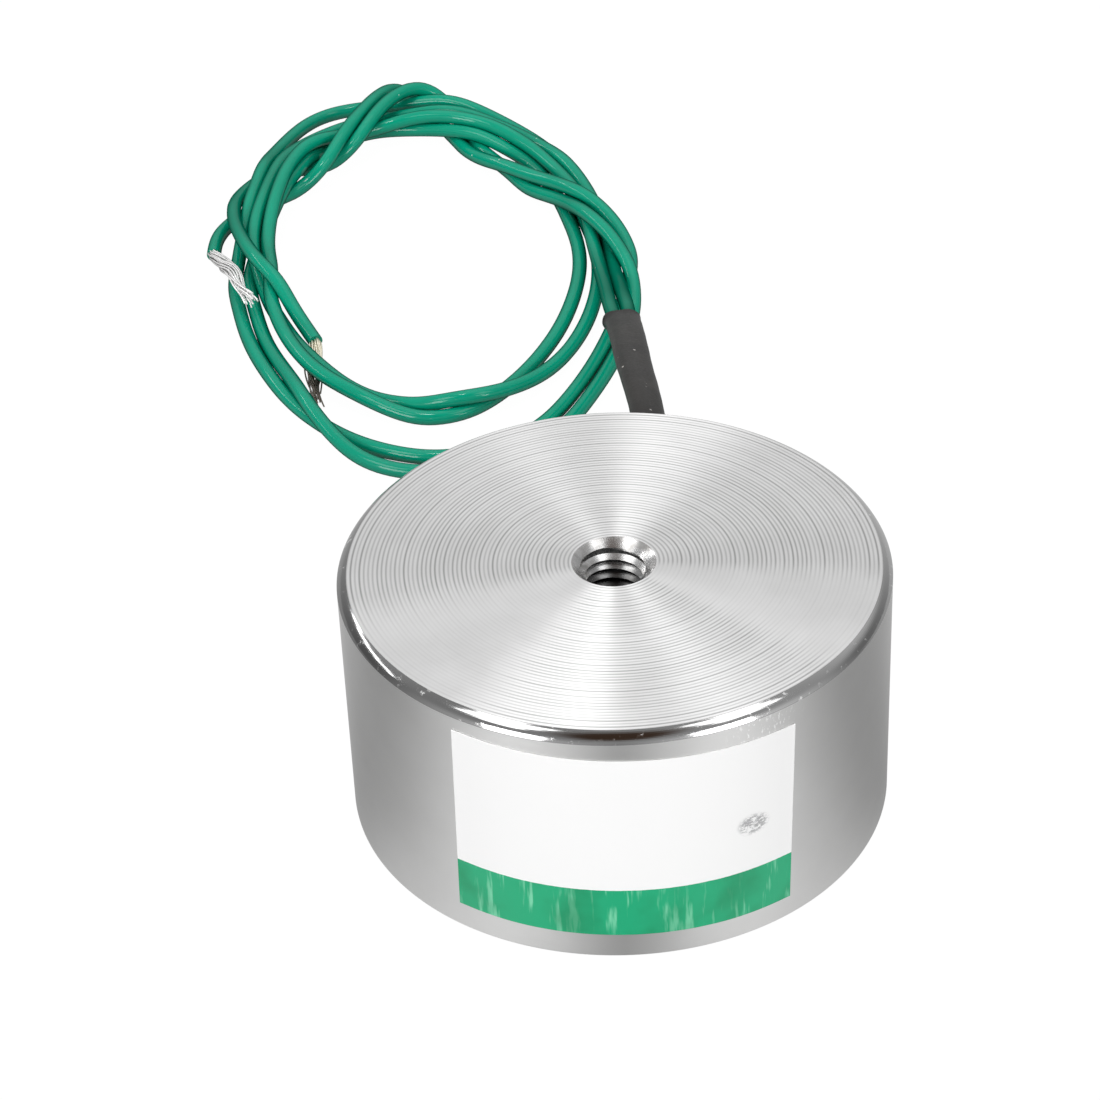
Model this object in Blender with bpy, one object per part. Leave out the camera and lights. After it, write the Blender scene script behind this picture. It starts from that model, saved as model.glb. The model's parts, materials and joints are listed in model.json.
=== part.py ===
"""A round holding electromagnet, 40 mm across and 20 mm tall, with two free leads.

All sizes are in metres. The holding face is at z = 0 and faces down, and the threaded hole opens
upwards on the axis. The label wraps the -Y side. The leads leave the +Y side through a sleeve and
lie behind the housing in a loose oval coil.

An azimuth is measured from +Y towards +X, in degrees.
"""

import math

import bmesh
import bpy
from mathutils import Vector

# Housing: one turned steel cup with its core
POT_DIAMETER = 0.0400
POT_HEIGHT = 0.0200
WALL_SHARE = 0.075
BACK_PLATE_SHARE = 0.25
CORE_SHARE = 0.475
RIM_ROUND = 0.00055
FACE_EDGE_ROUND = 0.0003
CAVITY_FILLET = 0.0008
TURNED_SIDES = 80

# Blind hole for an M5 thread, with its countersink and the drill's point
THREAD_MAJOR_DIAMETER = 0.0050
THREAD_PITCH = 0.0008
THREAD_DEPTH_SHARE = 0.40
THREAD_RUN_OUT = 0.0020
COUNTERSINK_LIP = 0.00055
DRILL_POINT_ANGLE = math.radians(118)

# Lead hole through the rear wall
EXIT_AZIMUTH = 8.0
EXIT_BELOW_CEILING = 0.0025
EXIT_HOLE_SLACK = 0.0004

# Clearances between pieces
SEAT_GAP = 0.0003
WRAP_GAP = 0.0001

# Cast resin that closes the cavity at the holding face
RESIN_THICKNESS = 0.0015

# Bobbin and winding
BARREL_WALL = 0.0008
FLANGE_THICKNESS = 0.0008
WINDING_CORNER = 0.0004
LEAD_OUT_SLOT = 0.0009
TAPE_THICKNESS = 0.0002
COIL_WIRE_DIAMETER = 0.0004

# Splices, which lie in the gap between the tape and the wall
SPLICE_BORE_SLACK = 0.0002
SPLICE_WALL = 0.00025
SPLICE_SIDE_GAP = 0.0004
SPLICE_START = 23.0
SPLICE_END = 47.0
JOINT_DIAMETER = 0.0011
JOINT_START = 27.5
JOINT_END = 38.5
WIRE_BREAKOUT = 55.0

# Leads and the sleeve over both
LEAD_DIAMETER = 0.0013
LEAD_PITCH = 0.00136
LEAD_BEND_RADIUS = 0.0026
SLEEVE_WALL = 0.0002
SLEEVE_BORE_SLACK = 0.0002
SLEEVE_TAIL_DEPTH = 0.0015
SLEEVE_MOUTH_FLARE = 1.06
POINT_SPACING = 0.0034

# Sleeve centre line behind the housing: x, distance behind the wall, share of the hole's height
SLEEVE_ROUTE = (
    (0.0032, 0.0042, 0.996),
    (0.0033, 0.0080, 0.984),
    (0.0031, 0.0120, 0.952),
    (0.0026, 0.0167, 0.888),
    (0.0021, 0.0219, 0.800),
    (0.0017, 0.0281, 0.680),
    (0.00125, 0.0346, 0.528),
)

# Free stretches of the leads between the sleeve and the coil, in the same three measures
LEAD_A_RUN = (
    (0.0017, 0.0385, 0.0055),
    (0.0015, 0.0418, 0.0047),
    (0.0012, 0.0454, 0.0039),
    (0.0009, 0.0490, 0.0032),
)
LEAD_B_RUN = (
    (0.0003, 0.0380, 0.0055),
    (0.0001, 0.0414, 0.0047),
    (-0.0001, 0.0451, 0.0039),
    (-0.0004, 0.0490, 0.0032),
)

# Free ends of the leads beyond the coil, in the same three measures
LEAD_A_END = (
    (-0.0357, 0.0638, 0.0007),
    (-0.0365, 0.0616, 0.0007),
    (-0.0369, 0.0595, 0.0007),
    (-0.0368, 0.0573, 0.0008),
)
LEAD_B_END = (
    (-0.0358, 0.0690, 0.0011),
    (-0.0364, 0.0660, 0.0017),
    (-0.0364, 0.0630, 0.0026),
    (-0.0358, 0.0600, 0.0036),
    (-0.0347, 0.0566, 0.0042),
    (-0.0330, 0.0532, 0.0043),
    (-0.0317, 0.0506, 0.0042),
    (-0.0305, 0.0484, 0.0039),
    (-0.0294, 0.0464, 0.0033),
    (-0.0283, 0.0446, 0.0023),
    (-0.0273, 0.0430, 0.0013),
    (-0.0264, 0.0414, 0.0007),
)

# Bared strands: x, distance behind the wall, height, then the width and thickness of the fan
STRANDS_A = (
    (-0.0367, 0.0569, 0.0009, 0.0009, 0.0009),
    (-0.0360, 0.0548, 0.0023, 0.0012, 0.0008),
    (-0.0349, 0.0518, 0.0034, 0.0018, 0.0007),
    (-0.0335, 0.0482, 0.0037, 0.0026, 0.0006),
    (-0.0323, 0.0449, 0.0035, 0.0030, 0.0006),
)
STRANDS_B = (
    (-0.0262, 0.0410, 0.0007, 0.0009, 0.0009),
    (-0.0260, 0.0400, 0.0006, 0.0012, 0.0007),
    (-0.0259, 0.0390, 0.0005, 0.0016, 0.0006),
)

# Outer shape of the coil, as offsets from an oval on the surface that the magnet stands on.
# Each row is 30 degrees on, from the +X side towards +Y: inner edge, outer edge, height.
COIL_CENTRE_X = -0.0170
COIL_CENTRE_BEHIND = 0.0545
COIL_HALF_WIDTH = 0.0180
COIL_HALF_LENGTH = 0.0320
COIL_EDGE = 0.00065
COIL_SECTIONS = (
    (-0.0041, 0.0020, 0.0020),
    (-0.0063, -0.0007, 0.0034),
    (-0.0087, -0.0024, 0.0034),
    (-0.0078, -0.0005, 0.0038),
    (-0.0057, 0.0030, 0.0038),
    (-0.0043, 0.0016, 0.0030),
    (-0.0037, -0.0001, 0.0029),
    (-0.0053, -0.0006, 0.0025),
    (-0.0077, -0.0008, 0.0019),
    (-0.0084, 0.0024, 0.0016),
    (-0.0056, 0.0044, 0.0022),
    (-0.0049, 0.0034, 0.0016),
)
COIL_STEPS_PER_SECTION = 3

# Label film
LABEL_THICKNESS = 0.0001
LABEL_GAP = 0.00005
LABEL_WIDTH = 0.0251
LABEL_HEIGHT = 0.0158
LABEL_BOTTOM = 0.0020
LABEL_AZIMUTH = 180.8
LABEL_TILT = math.radians(1.0)
LABEL_COLUMNS = 20

# Sizes that follow from those above
POT_RADIUS = POT_DIAMETER / 2
WALL_THICKNESS = POT_DIAMETER * WALL_SHARE
CAVITY_RADIUS = POT_RADIUS - WALL_THICKNESS
CAVITY_CEILING = POT_HEIGHT * (1 - BACK_PLATE_SHARE)
CORE_RADIUS = POT_DIAMETER * CORE_SHARE / 2
THREAD_DEPTH = POT_HEIGHT * THREAD_DEPTH_SHARE
TAP_DRILL_RADIUS = (THREAD_MAJOR_DIAMETER - THREAD_PITCH) / 2
COUNTERSINK_RADIUS = THREAD_MAJOR_DIAMETER / 2 + COUNTERSINK_LIP
EXIT_HEIGHT = CAVITY_CEILING - EXIT_BELOW_CEILING
SLEEVE_BORE_HEIGHT = LEAD_DIAMETER + SLEEVE_BORE_SLACK
SLEEVE_BORE_WIDTH = LEAD_PITCH + LEAD_DIAMETER + SLEEVE_BORE_SLACK
EXIT_HOLE_DIAMETER = math.hypot(SLEEVE_BORE_WIDTH, SLEEVE_BORE_HEIGHT) + 2 * SLEEVE_WALL + EXIT_HOLE_SLACK
SPLICE_BORE = LEAD_DIAMETER + SPLICE_BORE_SLACK
SPLICE_OUTER_DIAMETER = SPLICE_BORE + 2 * SPLICE_WALL
BOBBIN_BOTTOM = RESIN_THICKNESS + SEAT_GAP
BOBBIN_TOP = CAVITY_CEILING - SEAT_GAP
BARREL_INNER_RADIUS = CORE_RADIUS + SEAT_GAP
BARREL_OUTER_RADIUS = BARREL_INNER_RADIUS + BARREL_WALL
FLANGE_RADIUS = CAVITY_RADIUS - SEAT_GAP
TAPE_OUTER_RADIUS = CAVITY_RADIUS - SPLICE_OUTER_DIAMETER - 2 * SPLICE_SIDE_GAP
TAPE_INNER_RADIUS = TAPE_OUTER_RADIUS - TAPE_THICKNESS
WINDING_INNER_RADIUS = BARREL_OUTER_RADIUS + WRAP_GAP
WINDING_OUTER_RADIUS = TAPE_INNER_RADIUS - WRAP_GAP
WINDING_BOTTOM = BOBBIN_BOTTOM + FLANGE_THICKNESS + WRAP_GAP
WINDING_TOP = BOBBIN_TOP - FLANGE_THICKNESS - LEAD_OUT_SLOT
SPLICE_RADIUS = (TAPE_OUTER_RADIUS + CAVITY_RADIUS) / 2
LEAD_OUT_HEIGHT = WINDING_TOP + LEAD_OUT_SLOT / 2


def clear_scene():
    """Remove every object that the file starts with."""
    for obj in list(bpy.data.objects):
        bpy.data.objects.remove(obj, do_unlink=True)


def make_material(name, colour, roughness, metallic=0.0):
    """A Principled material with one colour."""
    material = bpy.data.materials.new(name)
    material.use_nodes = True
    shader = material.node_tree.nodes["Principled BSDF"]
    shader.inputs["Base Color"].default_value = (*colour, 1.0)
    shader.inputs["Roughness"].default_value = roughness
    shader.inputs["Metallic"].default_value = metallic
    return material


def add_object(name, data, material):
    """Link new object data into the scene with its material."""
    data.materials.append(material)
    obj = bpy.data.objects.new(name, data)
    bpy.context.scene.collection.objects.link(obj)
    return obj


def finish_mesh(name, bm, material, sharp_angle=30.0):
    """Turn a bmesh into an object with outward faces, shaded smooth between its sharp edges."""
    bmesh.ops.remove_doubles(bm, verts=bm.verts, dist=1e-6)
    bmesh.ops.recalc_face_normals(bm, faces=bm.faces)
    mesh = bpy.data.meshes.new(name)
    bm.to_mesh(mesh)
    bm.free()
    mesh.shade_smooth()
    mesh.set_sharp_from_angle(angle=math.radians(sharp_angle))
    return add_object(name, mesh, material)


def polar(radius, azimuth, height):
    """The point at this radius and azimuth, at this height."""
    angle = math.radians(azimuth)
    return Vector((radius * math.sin(angle), radius * math.cos(angle), height))


def behind_wall(x, distance, height):
    """A point whose y is measured from the rear of the housing."""
    return Vector((x, POT_RADIUS + distance, height))


def arc(centre_x, centre_z, radius, start, end, steps):
    """Profile points along an arc, angles in degrees from +X towards +Z."""
    points = []
    for step in range(steps + 1):
        angle = math.radians(start + (end - start) * step / steps)
        points.append((centre_x + radius * math.cos(angle), centre_z + radius * math.sin(angle)))
    return points


def turned(name, profile, material, closed):
    """Spin a profile of (radius, height) points once round the Z axis."""
    bm = bmesh.new()
    verts = [bm.verts.new((x, 0.0, z)) for x, z in profile]
    edges = [bm.edges.new(pair) for pair in zip(verts, verts[1:])]
    if closed:
        edges.append(bm.edges.new((verts[-1], verts[0])))
    bmesh.ops.spin(
        bm,
        geom=verts + edges,
        cent=(0.0, 0.0, 0.0),
        axis=(0.0, 0.0, 1.0),
        angle=2 * math.pi,
        steps=TURNED_SIDES,
        use_merge=True,
    )
    return finish_mesh(name, bm, material)


def smooth_route(points, spacing):
    """Points about this far apart on a Catmull-Rom curve through the given points."""
    points = [Vector(point) for point in points]
    points = [2 * points[0] - points[1], *points, 2 * points[-1] - points[-2]]
    fine = []
    samples = 16
    for a, b, c, d in zip(points, points[1:], points[2:], points[3:]):
        for sample in range(samples):
            t = sample / samples
            fine.append(
                0.5 * (2 * b + (c - a) * t + (2 * a - 5 * b + 4 * c - d) * t**2 + (3 * b - a - 3 * c + d) * t**3)
            )
    fine.append(points[-2])
    lengths = [0.0]
    for here, following in zip(fine, fine[1:]):
        lengths.append(lengths[-1] + (following - here).length)
    count = max(2, round(lengths[-1] / spacing))
    route = []
    index = 0
    for step in range(count + 1):
        target = lengths[-1] * step / count
        while index < len(fine) - 2 and lengths[index + 1] < target:
            index += 1
        span = lengths[index + 1] - lengths[index]
        route.append(fine[index].lerp(fine[index + 1], (target - lengths[index]) / span))
    return route


def cord(name, route, diameter, material):
    """A round cord or wire along a route, with its ends closed."""
    curve = bpy.data.curves.new(name, "CURVE")
    curve.dimensions = "3D"
    curve.bevel_depth = diameter / 2
    curve.bevel_resolution = 2
    curve.use_fill_caps = True
    spline = curve.splines.new("POLY")
    spline.points.add(len(route) - 1)
    for point, place in zip(spline.points, route):
        point.co = (*place, 1.0)
    return add_object(name, curve, material)


def directions(route):
    """The direction of a route at each of its points."""
    found = []
    for index in range(len(route)):
        before = route[max(index - 1, 0)]
        after = route[min(index + 1, len(route) - 1)]
        found.append((after - before).normalized())
    return found


def oblong_ring(centre, direction, width, height, quarter_steps):
    """Points round an oblong with round ends, square to a direction and level from side to side."""
    side = direction.cross(Vector((0.0, 0.0, 1.0))).normalized()
    up = side.cross(direction).normalized()
    end_radius = min(width, height) / 2
    side_shift = width / 2 - end_radius
    up_shift = height / 2 - end_radius
    ring = []
    for quarter in range(4):
        side_sign = 1 if quarter in (0, 3) else -1
        up_sign = 1 if quarter in (0, 1) else -1
        for step in range(quarter_steps + 1):
            angle = math.radians(90.0 * (quarter + step / quarter_steps))
            across = side_sign * side_shift + end_radius * math.cos(angle)
            above = up_sign * up_shift + end_radius * math.sin(angle)
            ring.append(centre + side * across + up * above)
    return ring


def skin(bm, rings, closed=False):
    """Faces between each ring of points and the next. Returns the rings' vertices."""
    made = [[bm.verts.new(point) for point in ring] for ring in rings]
    following = made[1:] + made[:1] if closed else made[1:]
    for ring, nxt in zip(made, following):
        for index in range(len(ring)):
            other = (index + 1) % len(ring)
            bm.faces.new((ring[index], ring[other], nxt[other], nxt[index]))
    return made


def swept_solid(name, rings, material):
    """A closed body through rings of points."""
    bm = bmesh.new()
    made = skin(bm, rings)
    bm.faces.new(made[0])
    bm.faces.new(made[-1])
    return finish_mesh(name, bm, material)


def swept_tube(name, outer_rings, inner_rings, material):
    """A hollow body between outer and inner rings, open along its bore."""
    bm = bmesh.new()
    outer = skin(bm, outer_rings)
    inner = skin(bm, inner_rings)
    for end in (0, -1):
        count = len(outer[end])
        for index in range(count):
            other = (index + 1) % count
            bm.faces.new((outer[end][index], outer[end][other], inner[end][other], inner[end][index]))
    return finish_mesh(name, bm, material)


def exit_frame():
    """The lead hole's outward direction and the level direction across it, towards +X."""
    angle = math.radians(EXIT_AZIMUTH)
    outward = Vector((math.sin(angle), math.cos(angle), 0.0))
    across = Vector((math.cos(angle), -math.sin(angle), 0.0))
    return outward, across


def build_housing(material):
    """The cup: a turned section from the drill point, over the top face and round to the core's face."""
    hole_bottom = POT_HEIGHT - THREAD_DEPTH - THREAD_RUN_OUT
    drill_tip = hole_bottom - TAP_DRILL_RADIUS / math.tan(DRILL_POINT_ANGLE / 2)
    countersink_depth = COUNTERSINK_RADIUS - TAP_DRILL_RADIUS
    rim = arc(POT_RADIUS - RIM_ROUND, POT_HEIGHT - RIM_ROUND, RIM_ROUND, 90, 0, 3)
    lower_edge = arc(POT_RADIUS - FACE_EDGE_ROUND, FACE_EDGE_ROUND, FACE_EDGE_ROUND, 0, -90, 2)
    outer_fillet = arc(CAVITY_RADIUS - CAVITY_FILLET, CAVITY_CEILING - CAVITY_FILLET, CAVITY_FILLET, 0, 90, 2)
    profile = [
        (0.0, drill_tip),
        (TAP_DRILL_RADIUS, hole_bottom),
        (TAP_DRILL_RADIUS, POT_HEIGHT - countersink_depth),
        (COUNTERSINK_RADIUS, POT_HEIGHT),
        *rim,
        *lower_edge,
        (CAVITY_RADIUS, 0.0),
        *outer_fillet,
        (CORE_RADIUS, CAVITY_CEILING),
        (CORE_RADIUS, 0.0),
        (0.0, 0.0),
    ]
    housing = turned("pot_housing", profile, material, closed=False)
    outward, _ = exit_frame()
    bm = bmesh.new()
    bmesh.ops.create_cone(
        bm,
        cap_ends=True,
        segments=24,
        radius1=EXIT_HOLE_DIAMETER / 2,
        radius2=EXIT_HOLE_DIAMETER / 2,
        depth=2 * WALL_THICKNESS,
    )
    cutter = finish_mesh("exit_hole_cutter", bm, material)
    cutter.location = outward * (POT_RADIUS - WALL_THICKNESS / 2) + Vector((0.0, 0.0, EXIT_HEIGHT))
    cutter.rotation_euler = outward.to_track_quat("Z", "Y").to_euler()
    cutter.hide_render = True
    cutter.display_type = "WIRE"
    hole = housing.modifiers.new("exit_hole", "BOOLEAN")
    hole.operation = "DIFFERENCE"
    hole.solver = "EXACT"
    hole.object = cutter
    return housing


def build_resin(material):
    """The cast ring, flush with the holding face."""
    inner = CORE_RADIUS + SEAT_GAP
    outer = CAVITY_RADIUS - SEAT_GAP
    profile = [(inner, RESIN_THICKNESS), (outer, RESIN_THICKNESS), (outer, 0.0), (inner, 0.0)]
    return turned("resin_ring", profile, material, closed=True)


def build_bobbin(material):
    """The spool: a thin barrel between two flanges."""
    lower_flange_top = BOBBIN_BOTTOM + FLANGE_THICKNESS
    upper_flange_bottom = BOBBIN_TOP - FLANGE_THICKNESS
    upper_flange_radius = FLANGE_RADIUS - CAVITY_FILLET
    profile = [
        (BARREL_INNER_RADIUS, BOBBIN_TOP),
        (upper_flange_radius, BOBBIN_TOP),
        (upper_flange_radius, upper_flange_bottom),
        (BARREL_OUTER_RADIUS, upper_flange_bottom),
        (BARREL_OUTER_RADIUS, lower_flange_top),
        (FLANGE_RADIUS, lower_flange_top),
        (FLANGE_RADIUS, BOBBIN_BOTTOM),
        (BARREL_INNER_RADIUS, BOBBIN_BOTTOM),
    ]
    return turned("bobbin", profile, material, closed=True)


def build_winding(material):
    """The wound copper, as one body with eased corners."""
    upper = arc(
        WINDING_OUTER_RADIUS - WINDING_CORNER, WINDING_TOP - WINDING_CORNER, WINDING_CORNER, 90, 0, 2
    )
    lower = arc(
        WINDING_OUTER_RADIUS - WINDING_CORNER, WINDING_BOTTOM + WINDING_CORNER, WINDING_CORNER, 0, -90, 2
    )
    profile = [
        (WINDING_INNER_RADIUS, WINDING_TOP),
        *upper,
        *lower,
        (WINDING_INNER_RADIUS, WINDING_BOTTOM),
    ]
    return turned("winding", profile, material, closed=True)


def build_tape(material):
    """The tape wrapped round the winding, clear of its rounded corners."""
    top = WINDING_TOP - WINDING_CORNER
    bottom = WINDING_BOTTOM + WINDING_CORNER
    profile = [
        (TAPE_INNER_RADIUS, top),
        (TAPE_OUTER_RADIUS, top),
        (TAPE_OUTER_RADIUS, bottom),
        (TAPE_INNER_RADIUS, bottom),
    ]
    return turned("winding_tape", profile, material, closed=True)


def splice_arc(side, start, end, steps):
    """Points in the splice gap, at angles counted from the lead hole towards one side."""
    points = []
    for step in range(steps + 1):
        angle = start + (end - start) * step / steps
        points.append(polar(SPLICE_RADIUS, EXIT_AZIMUTH + side * angle, EXIT_HEIGHT))
    return points


def build_splice(label, side, joint_material, sleeve_material):
    """The solder joint of one lead and the insulating sleeve over it."""
    gap_angle = math.degrees(WRAP_GAP / SPLICE_RADIUS)
    joint_route = splice_arc(side, JOINT_START + gap_angle, JOINT_END - gap_angle, 4)
    joint_widths = [0.55, 0.95, 1.0, 0.9, 0.45]
    joint_rings = []
    for place, direction, width in zip(joint_route, directions(joint_route), joint_widths):
        size = JOINT_DIAMETER * width
        joint_rings.append(oblong_ring(place, direction, size, size, 2))
    swept_solid(f"solder_joint_{label}", joint_rings, joint_material)
    sleeve_route = splice_arc(side, SPLICE_START, SPLICE_END, 6)
    outer = []
    inner = []
    for place, direction in zip(sleeve_route, directions(sleeve_route)):
        outer.append(oblong_ring(place, direction, SPLICE_OUTER_DIAMETER, SPLICE_OUTER_DIAMETER, 3))
        inner.append(oblong_ring(place, direction, SPLICE_BORE, SPLICE_BORE, 3))
    swept_tube(f"splice_sleeve_{label}", outer, inner, sleeve_material)


def build_coil_wire(name, side, start_radius, material):
    """A wire from the winding, over its top edge and into the open end of a splice."""
    wire_radius = COIL_WIRE_DIAMETER / 2
    gap_angle = math.degrees(WRAP_GAP / SPLICE_RADIUS)
    lift = (WINDING_TOP + wire_radius + WRAP_GAP) - LEAD_OUT_HEIGHT
    breakout = EXIT_AZIMUTH + side * WIRE_BREAKOUT
    shoulder = TAPE_OUTER_RADIUS + wire_radius + WRAP_GAP
    route = [
        polar(start_radius, breakout + side * 4.0, LEAD_OUT_HEIGHT + lift),
        polar((start_radius + shoulder) / 2, breakout + side * 2.5, LEAD_OUT_HEIGHT),
        polar(shoulder, breakout, LEAD_OUT_HEIGHT - wire_radius),
        polar(SPLICE_RADIUS, breakout - side * 4.0, EXIT_HEIGHT + wire_radius),
        polar(SPLICE_RADIUS, EXIT_AZIMUTH + side * SPLICE_END, EXIT_HEIGHT),
        polar(SPLICE_RADIUS, EXIT_AZIMUTH + side * (JOINT_END + gap_angle), EXIT_HEIGHT),
    ]
    return cord(name, smooth_route(route, 4 * COIL_WIRE_DIAMETER), COIL_WIRE_DIAMETER, material)


def sleeve_centre_line():
    """The sleeve's centre line, from inside the lead hole to its mouth."""
    outward, _ = exit_frame()
    height = Vector((0.0, 0.0, EXIT_HEIGHT))
    tail = outward * (POT_RADIUS - SLEEVE_TAIL_DEPTH) + height
    wall = outward * POT_RADIUS + height
    free = [behind_wall(x, distance, share * EXIT_HEIGHT) for x, distance, share in SLEEVE_ROUTE]
    return smooth_route([tail, wall, *free], POINT_SPACING)


def build_sleeve(centre_line, material):
    """The shrunk sleeve round both leads, flared a little at its mouth."""
    outer = []
    inner = []
    for index, (place, direction) in enumerate(zip(centre_line, directions(centre_line))):
        flare = SLEEVE_MOUTH_FLARE if index == len(centre_line) - 1 else 1.0
        width = SLEEVE_BORE_WIDTH * flare
        height = SLEEVE_BORE_HEIGHT * flare
        outer.append(oblong_ring(place, direction, width + 2 * SLEEVE_WALL, height + 2 * SLEEVE_WALL, 4))
        inner.append(oblong_ring(place, direction, width, height, 4))
    return swept_tube("lead_sleeve", outer, inner, material)


def build_lead_run(name, side, centre_line, free_route, material):
    """One lead from its splice, out through the hole and the sleeve, and down to the coil."""
    outward, across = exit_frame()
    height = Vector((0.0, 0.0, EXIT_HEIGHT))
    half_pitch = LEAD_PITCH / 2
    bend_across = half_pitch + LEAD_BEND_RADIUS
    bend_start = math.degrees(math.asin(bend_across / SPLICE_RADIUS))
    bend_outward = SPLICE_RADIUS * math.cos(math.radians(bend_start)) + LEAD_BEND_RADIUS
    route = splice_arc(side, JOINT_START - 0.5, bend_start, 4)
    for angle in (30.0, 60.0, 90.0):
        turn = math.radians(angle)
        sideways = bend_across - LEAD_BEND_RADIUS * math.sin(turn)
        along = bend_outward - LEAD_BEND_RADIUS * math.cos(turn)
        route.append(outward * along + across * side * sideways + height)
    for place, direction in zip(centre_line, directions(centre_line)):
        level_side = direction.cross(Vector((0.0, 0.0, 1.0))).normalized()
        route.append(place + level_side * side * half_pitch)
    route.extend(smooth_route([route[-1], *(behind_wall(*point) for point in free_route)], POINT_SPACING)[1:])
    return cord(name, route, LEAD_DIAMETER, material)


def coil_section(position):
    """Inner edge, outer edge and height of the coil at a position counted in sections."""
    count = len(COIL_SECTIONS)
    index = math.floor(position)
    t = position - index
    a, b, c, d = (COIL_SECTIONS[(index + shift) % count] for shift in (-1, 0, 1, 2))
    return [
        0.5 * (2 * q + (r - p) * t + (2 * p - 5 * q + 4 * r - s) * t**2 + (3 * q - p - 3 * r + s) * t**3)
        for p, q, r, s in zip(a, b, c, d)
    ]


def build_coil(material):
    """The outer shape of the loosely coiled leads: an oval ring that lies on the surface."""
    count = len(COIL_SECTIONS) * COIL_STEPS_PER_SECTION
    rings = []
    for step in range(count):
        inner, outer, height = coil_section(step / COIL_STEPS_PER_SECTION)
        angle = 2 * math.pi * step / count
        centre = behind_wall(
            COIL_CENTRE_X + COIL_HALF_WIDTH * math.cos(angle),
            COIL_CENTRE_BEHIND + COIL_HALF_LENGTH * math.sin(angle),
            0.0,
        )
        normal = Vector((math.cos(angle) / COIL_HALF_WIDTH, math.sin(angle) / COIL_HALF_LENGTH, 0.0))
        normal.normalize()
        outline = (
            (inner + COIL_EDGE, 0.0),
            (outer - COIL_EDGE, 0.0),
            (outer, COIL_EDGE),
            (outer, height - COIL_EDGE),
            (outer - COIL_EDGE, height),
            (inner + COIL_EDGE, height),
            (inner, height - COIL_EDGE),
            (inner, COIL_EDGE),
        )
        rings.append([centre + normal * across + Vector((0.0, 0.0, above)) for across, above in outline])
    bm = bmesh.new()
    skin(bm, rings, closed=True)
    return finish_mesh("lead_coil", bm, material, sharp_angle=60.0)


def build_strands(name, stations, material):
    """The bared strands of one lead, as one flat fan."""
    places = [behind_wall(*station[:3]) for station in stations]
    rings = []
    for place, direction, station in zip(places, directions(places), stations):
        rings.append(oblong_ring(place, direction, station[3], station[4], 2))
    return swept_solid(name, rings, material)


def build_label(material):
    """The film on the side wall, tilted a little as it was stuck on."""
    inner_radius = POT_RADIUS + LABEL_GAP
    outer_radius = inner_radius + LABEL_THICKNESS
    rings = []
    for column in range(LABEL_COLUMNS + 1):
        along = LABEL_WIDTH * (column / LABEL_COLUMNS - 0.5)
        azimuth = LABEL_AZIMUTH + math.degrees(along / POT_RADIUS)
        bottom = LABEL_BOTTOM + along * math.tan(LABEL_TILT)
        top = bottom + LABEL_HEIGHT
        rings.append(
            [
                polar(inner_radius, azimuth, bottom),
                polar(outer_radius, azimuth, bottom),
                polar(outer_radius, azimuth, top),
                polar(inner_radius, azimuth, top),
            ]
        )
    return swept_solid("label", rings, material)


def main():
    """Build every piece of the magnet."""
    clear_scene()
    steel = make_material("plated_steel", (0.72, 0.72, 0.71), 0.28, 1.0)
    resin = make_material("cast_resin", (0.03, 0.03, 0.03), 0.45)
    nylon = make_material("bobbin_nylon", (0.80, 0.78, 0.70), 0.45)
    copper = make_material("enamelled_copper", (0.60, 0.25, 0.10), 0.35, 1.0)
    tape = make_material("winding_tape", (0.75, 0.60, 0.12), 0.40)
    solder = make_material("solder", (0.65, 0.66, 0.66), 0.35, 1.0)
    splice = make_material("splice_tubing", (0.82, 0.80, 0.74), 0.55)
    sleeving = make_material("heat_shrink", (0.055, 0.055, 0.052), 0.60)
    insulation = make_material("green_insulation", (0.01, 0.35, 0.20), 0.35)
    strands = make_material("tinned_strands", (0.70, 0.69, 0.66), 0.30, 1.0)
    film = make_material("label_film", (0.85, 0.86, 0.86), 0.30)

    build_housing(steel)
    build_resin(resin)
    build_bobbin(nylon)
    build_winding(copper)
    build_tape(tape)
    for label, side in (("a", 1), ("b", -1)):
        build_splice(label, side, solder, splice)
    inner_layer = WINDING_INNER_RADIUS + COIL_WIRE_DIAMETER
    outer_layer = WINDING_OUTER_RADIUS - COIL_WIRE_DIAMETER
    build_coil_wire("coil_start_wire", 1, inner_layer, copper)
    build_coil_wire("coil_finish_wire", -1, outer_layer, copper)

    centre_line = sleeve_centre_line()
    build_sleeve(centre_line, sleeving)
    build_lead_run("lead_a_run", 1, centre_line, LEAD_A_RUN, insulation)
    build_lead_run("lead_b_run", -1, centre_line, LEAD_B_RUN, insulation)
    build_coil(insulation)
    for label, end, fan in (("a", LEAD_A_END, STRANDS_A), ("b", LEAD_B_END, STRANDS_B)):
        route = smooth_route([behind_wall(*point) for point in end], POINT_SPACING)
        cord(f"lead_{label}_end", route, LEAD_DIAMETER, insulation)
        build_strands(f"lead_{label}_strands", fan, strands)
    build_label(film)


main()
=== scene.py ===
"""Dresses a round holding electromagnet: turned steel housing, potted winding, sleeve and two green leads.

All lengths are in metres unless a class says millimetres. The holding face is at z = 0, the label wraps
the -Y side, and the leads lie behind the housing in a loose oval coil. An azimuth is measured from +Y
towards +X, in degrees.
"""

import json
import logging
import math
import random
from dataclasses import dataclass, field
from enum import Enum
from typing import Callable, Sequence

import bmesh
import bpy
import numpy as np
from mathutils import Matrix, Quaternion, Vector


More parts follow.
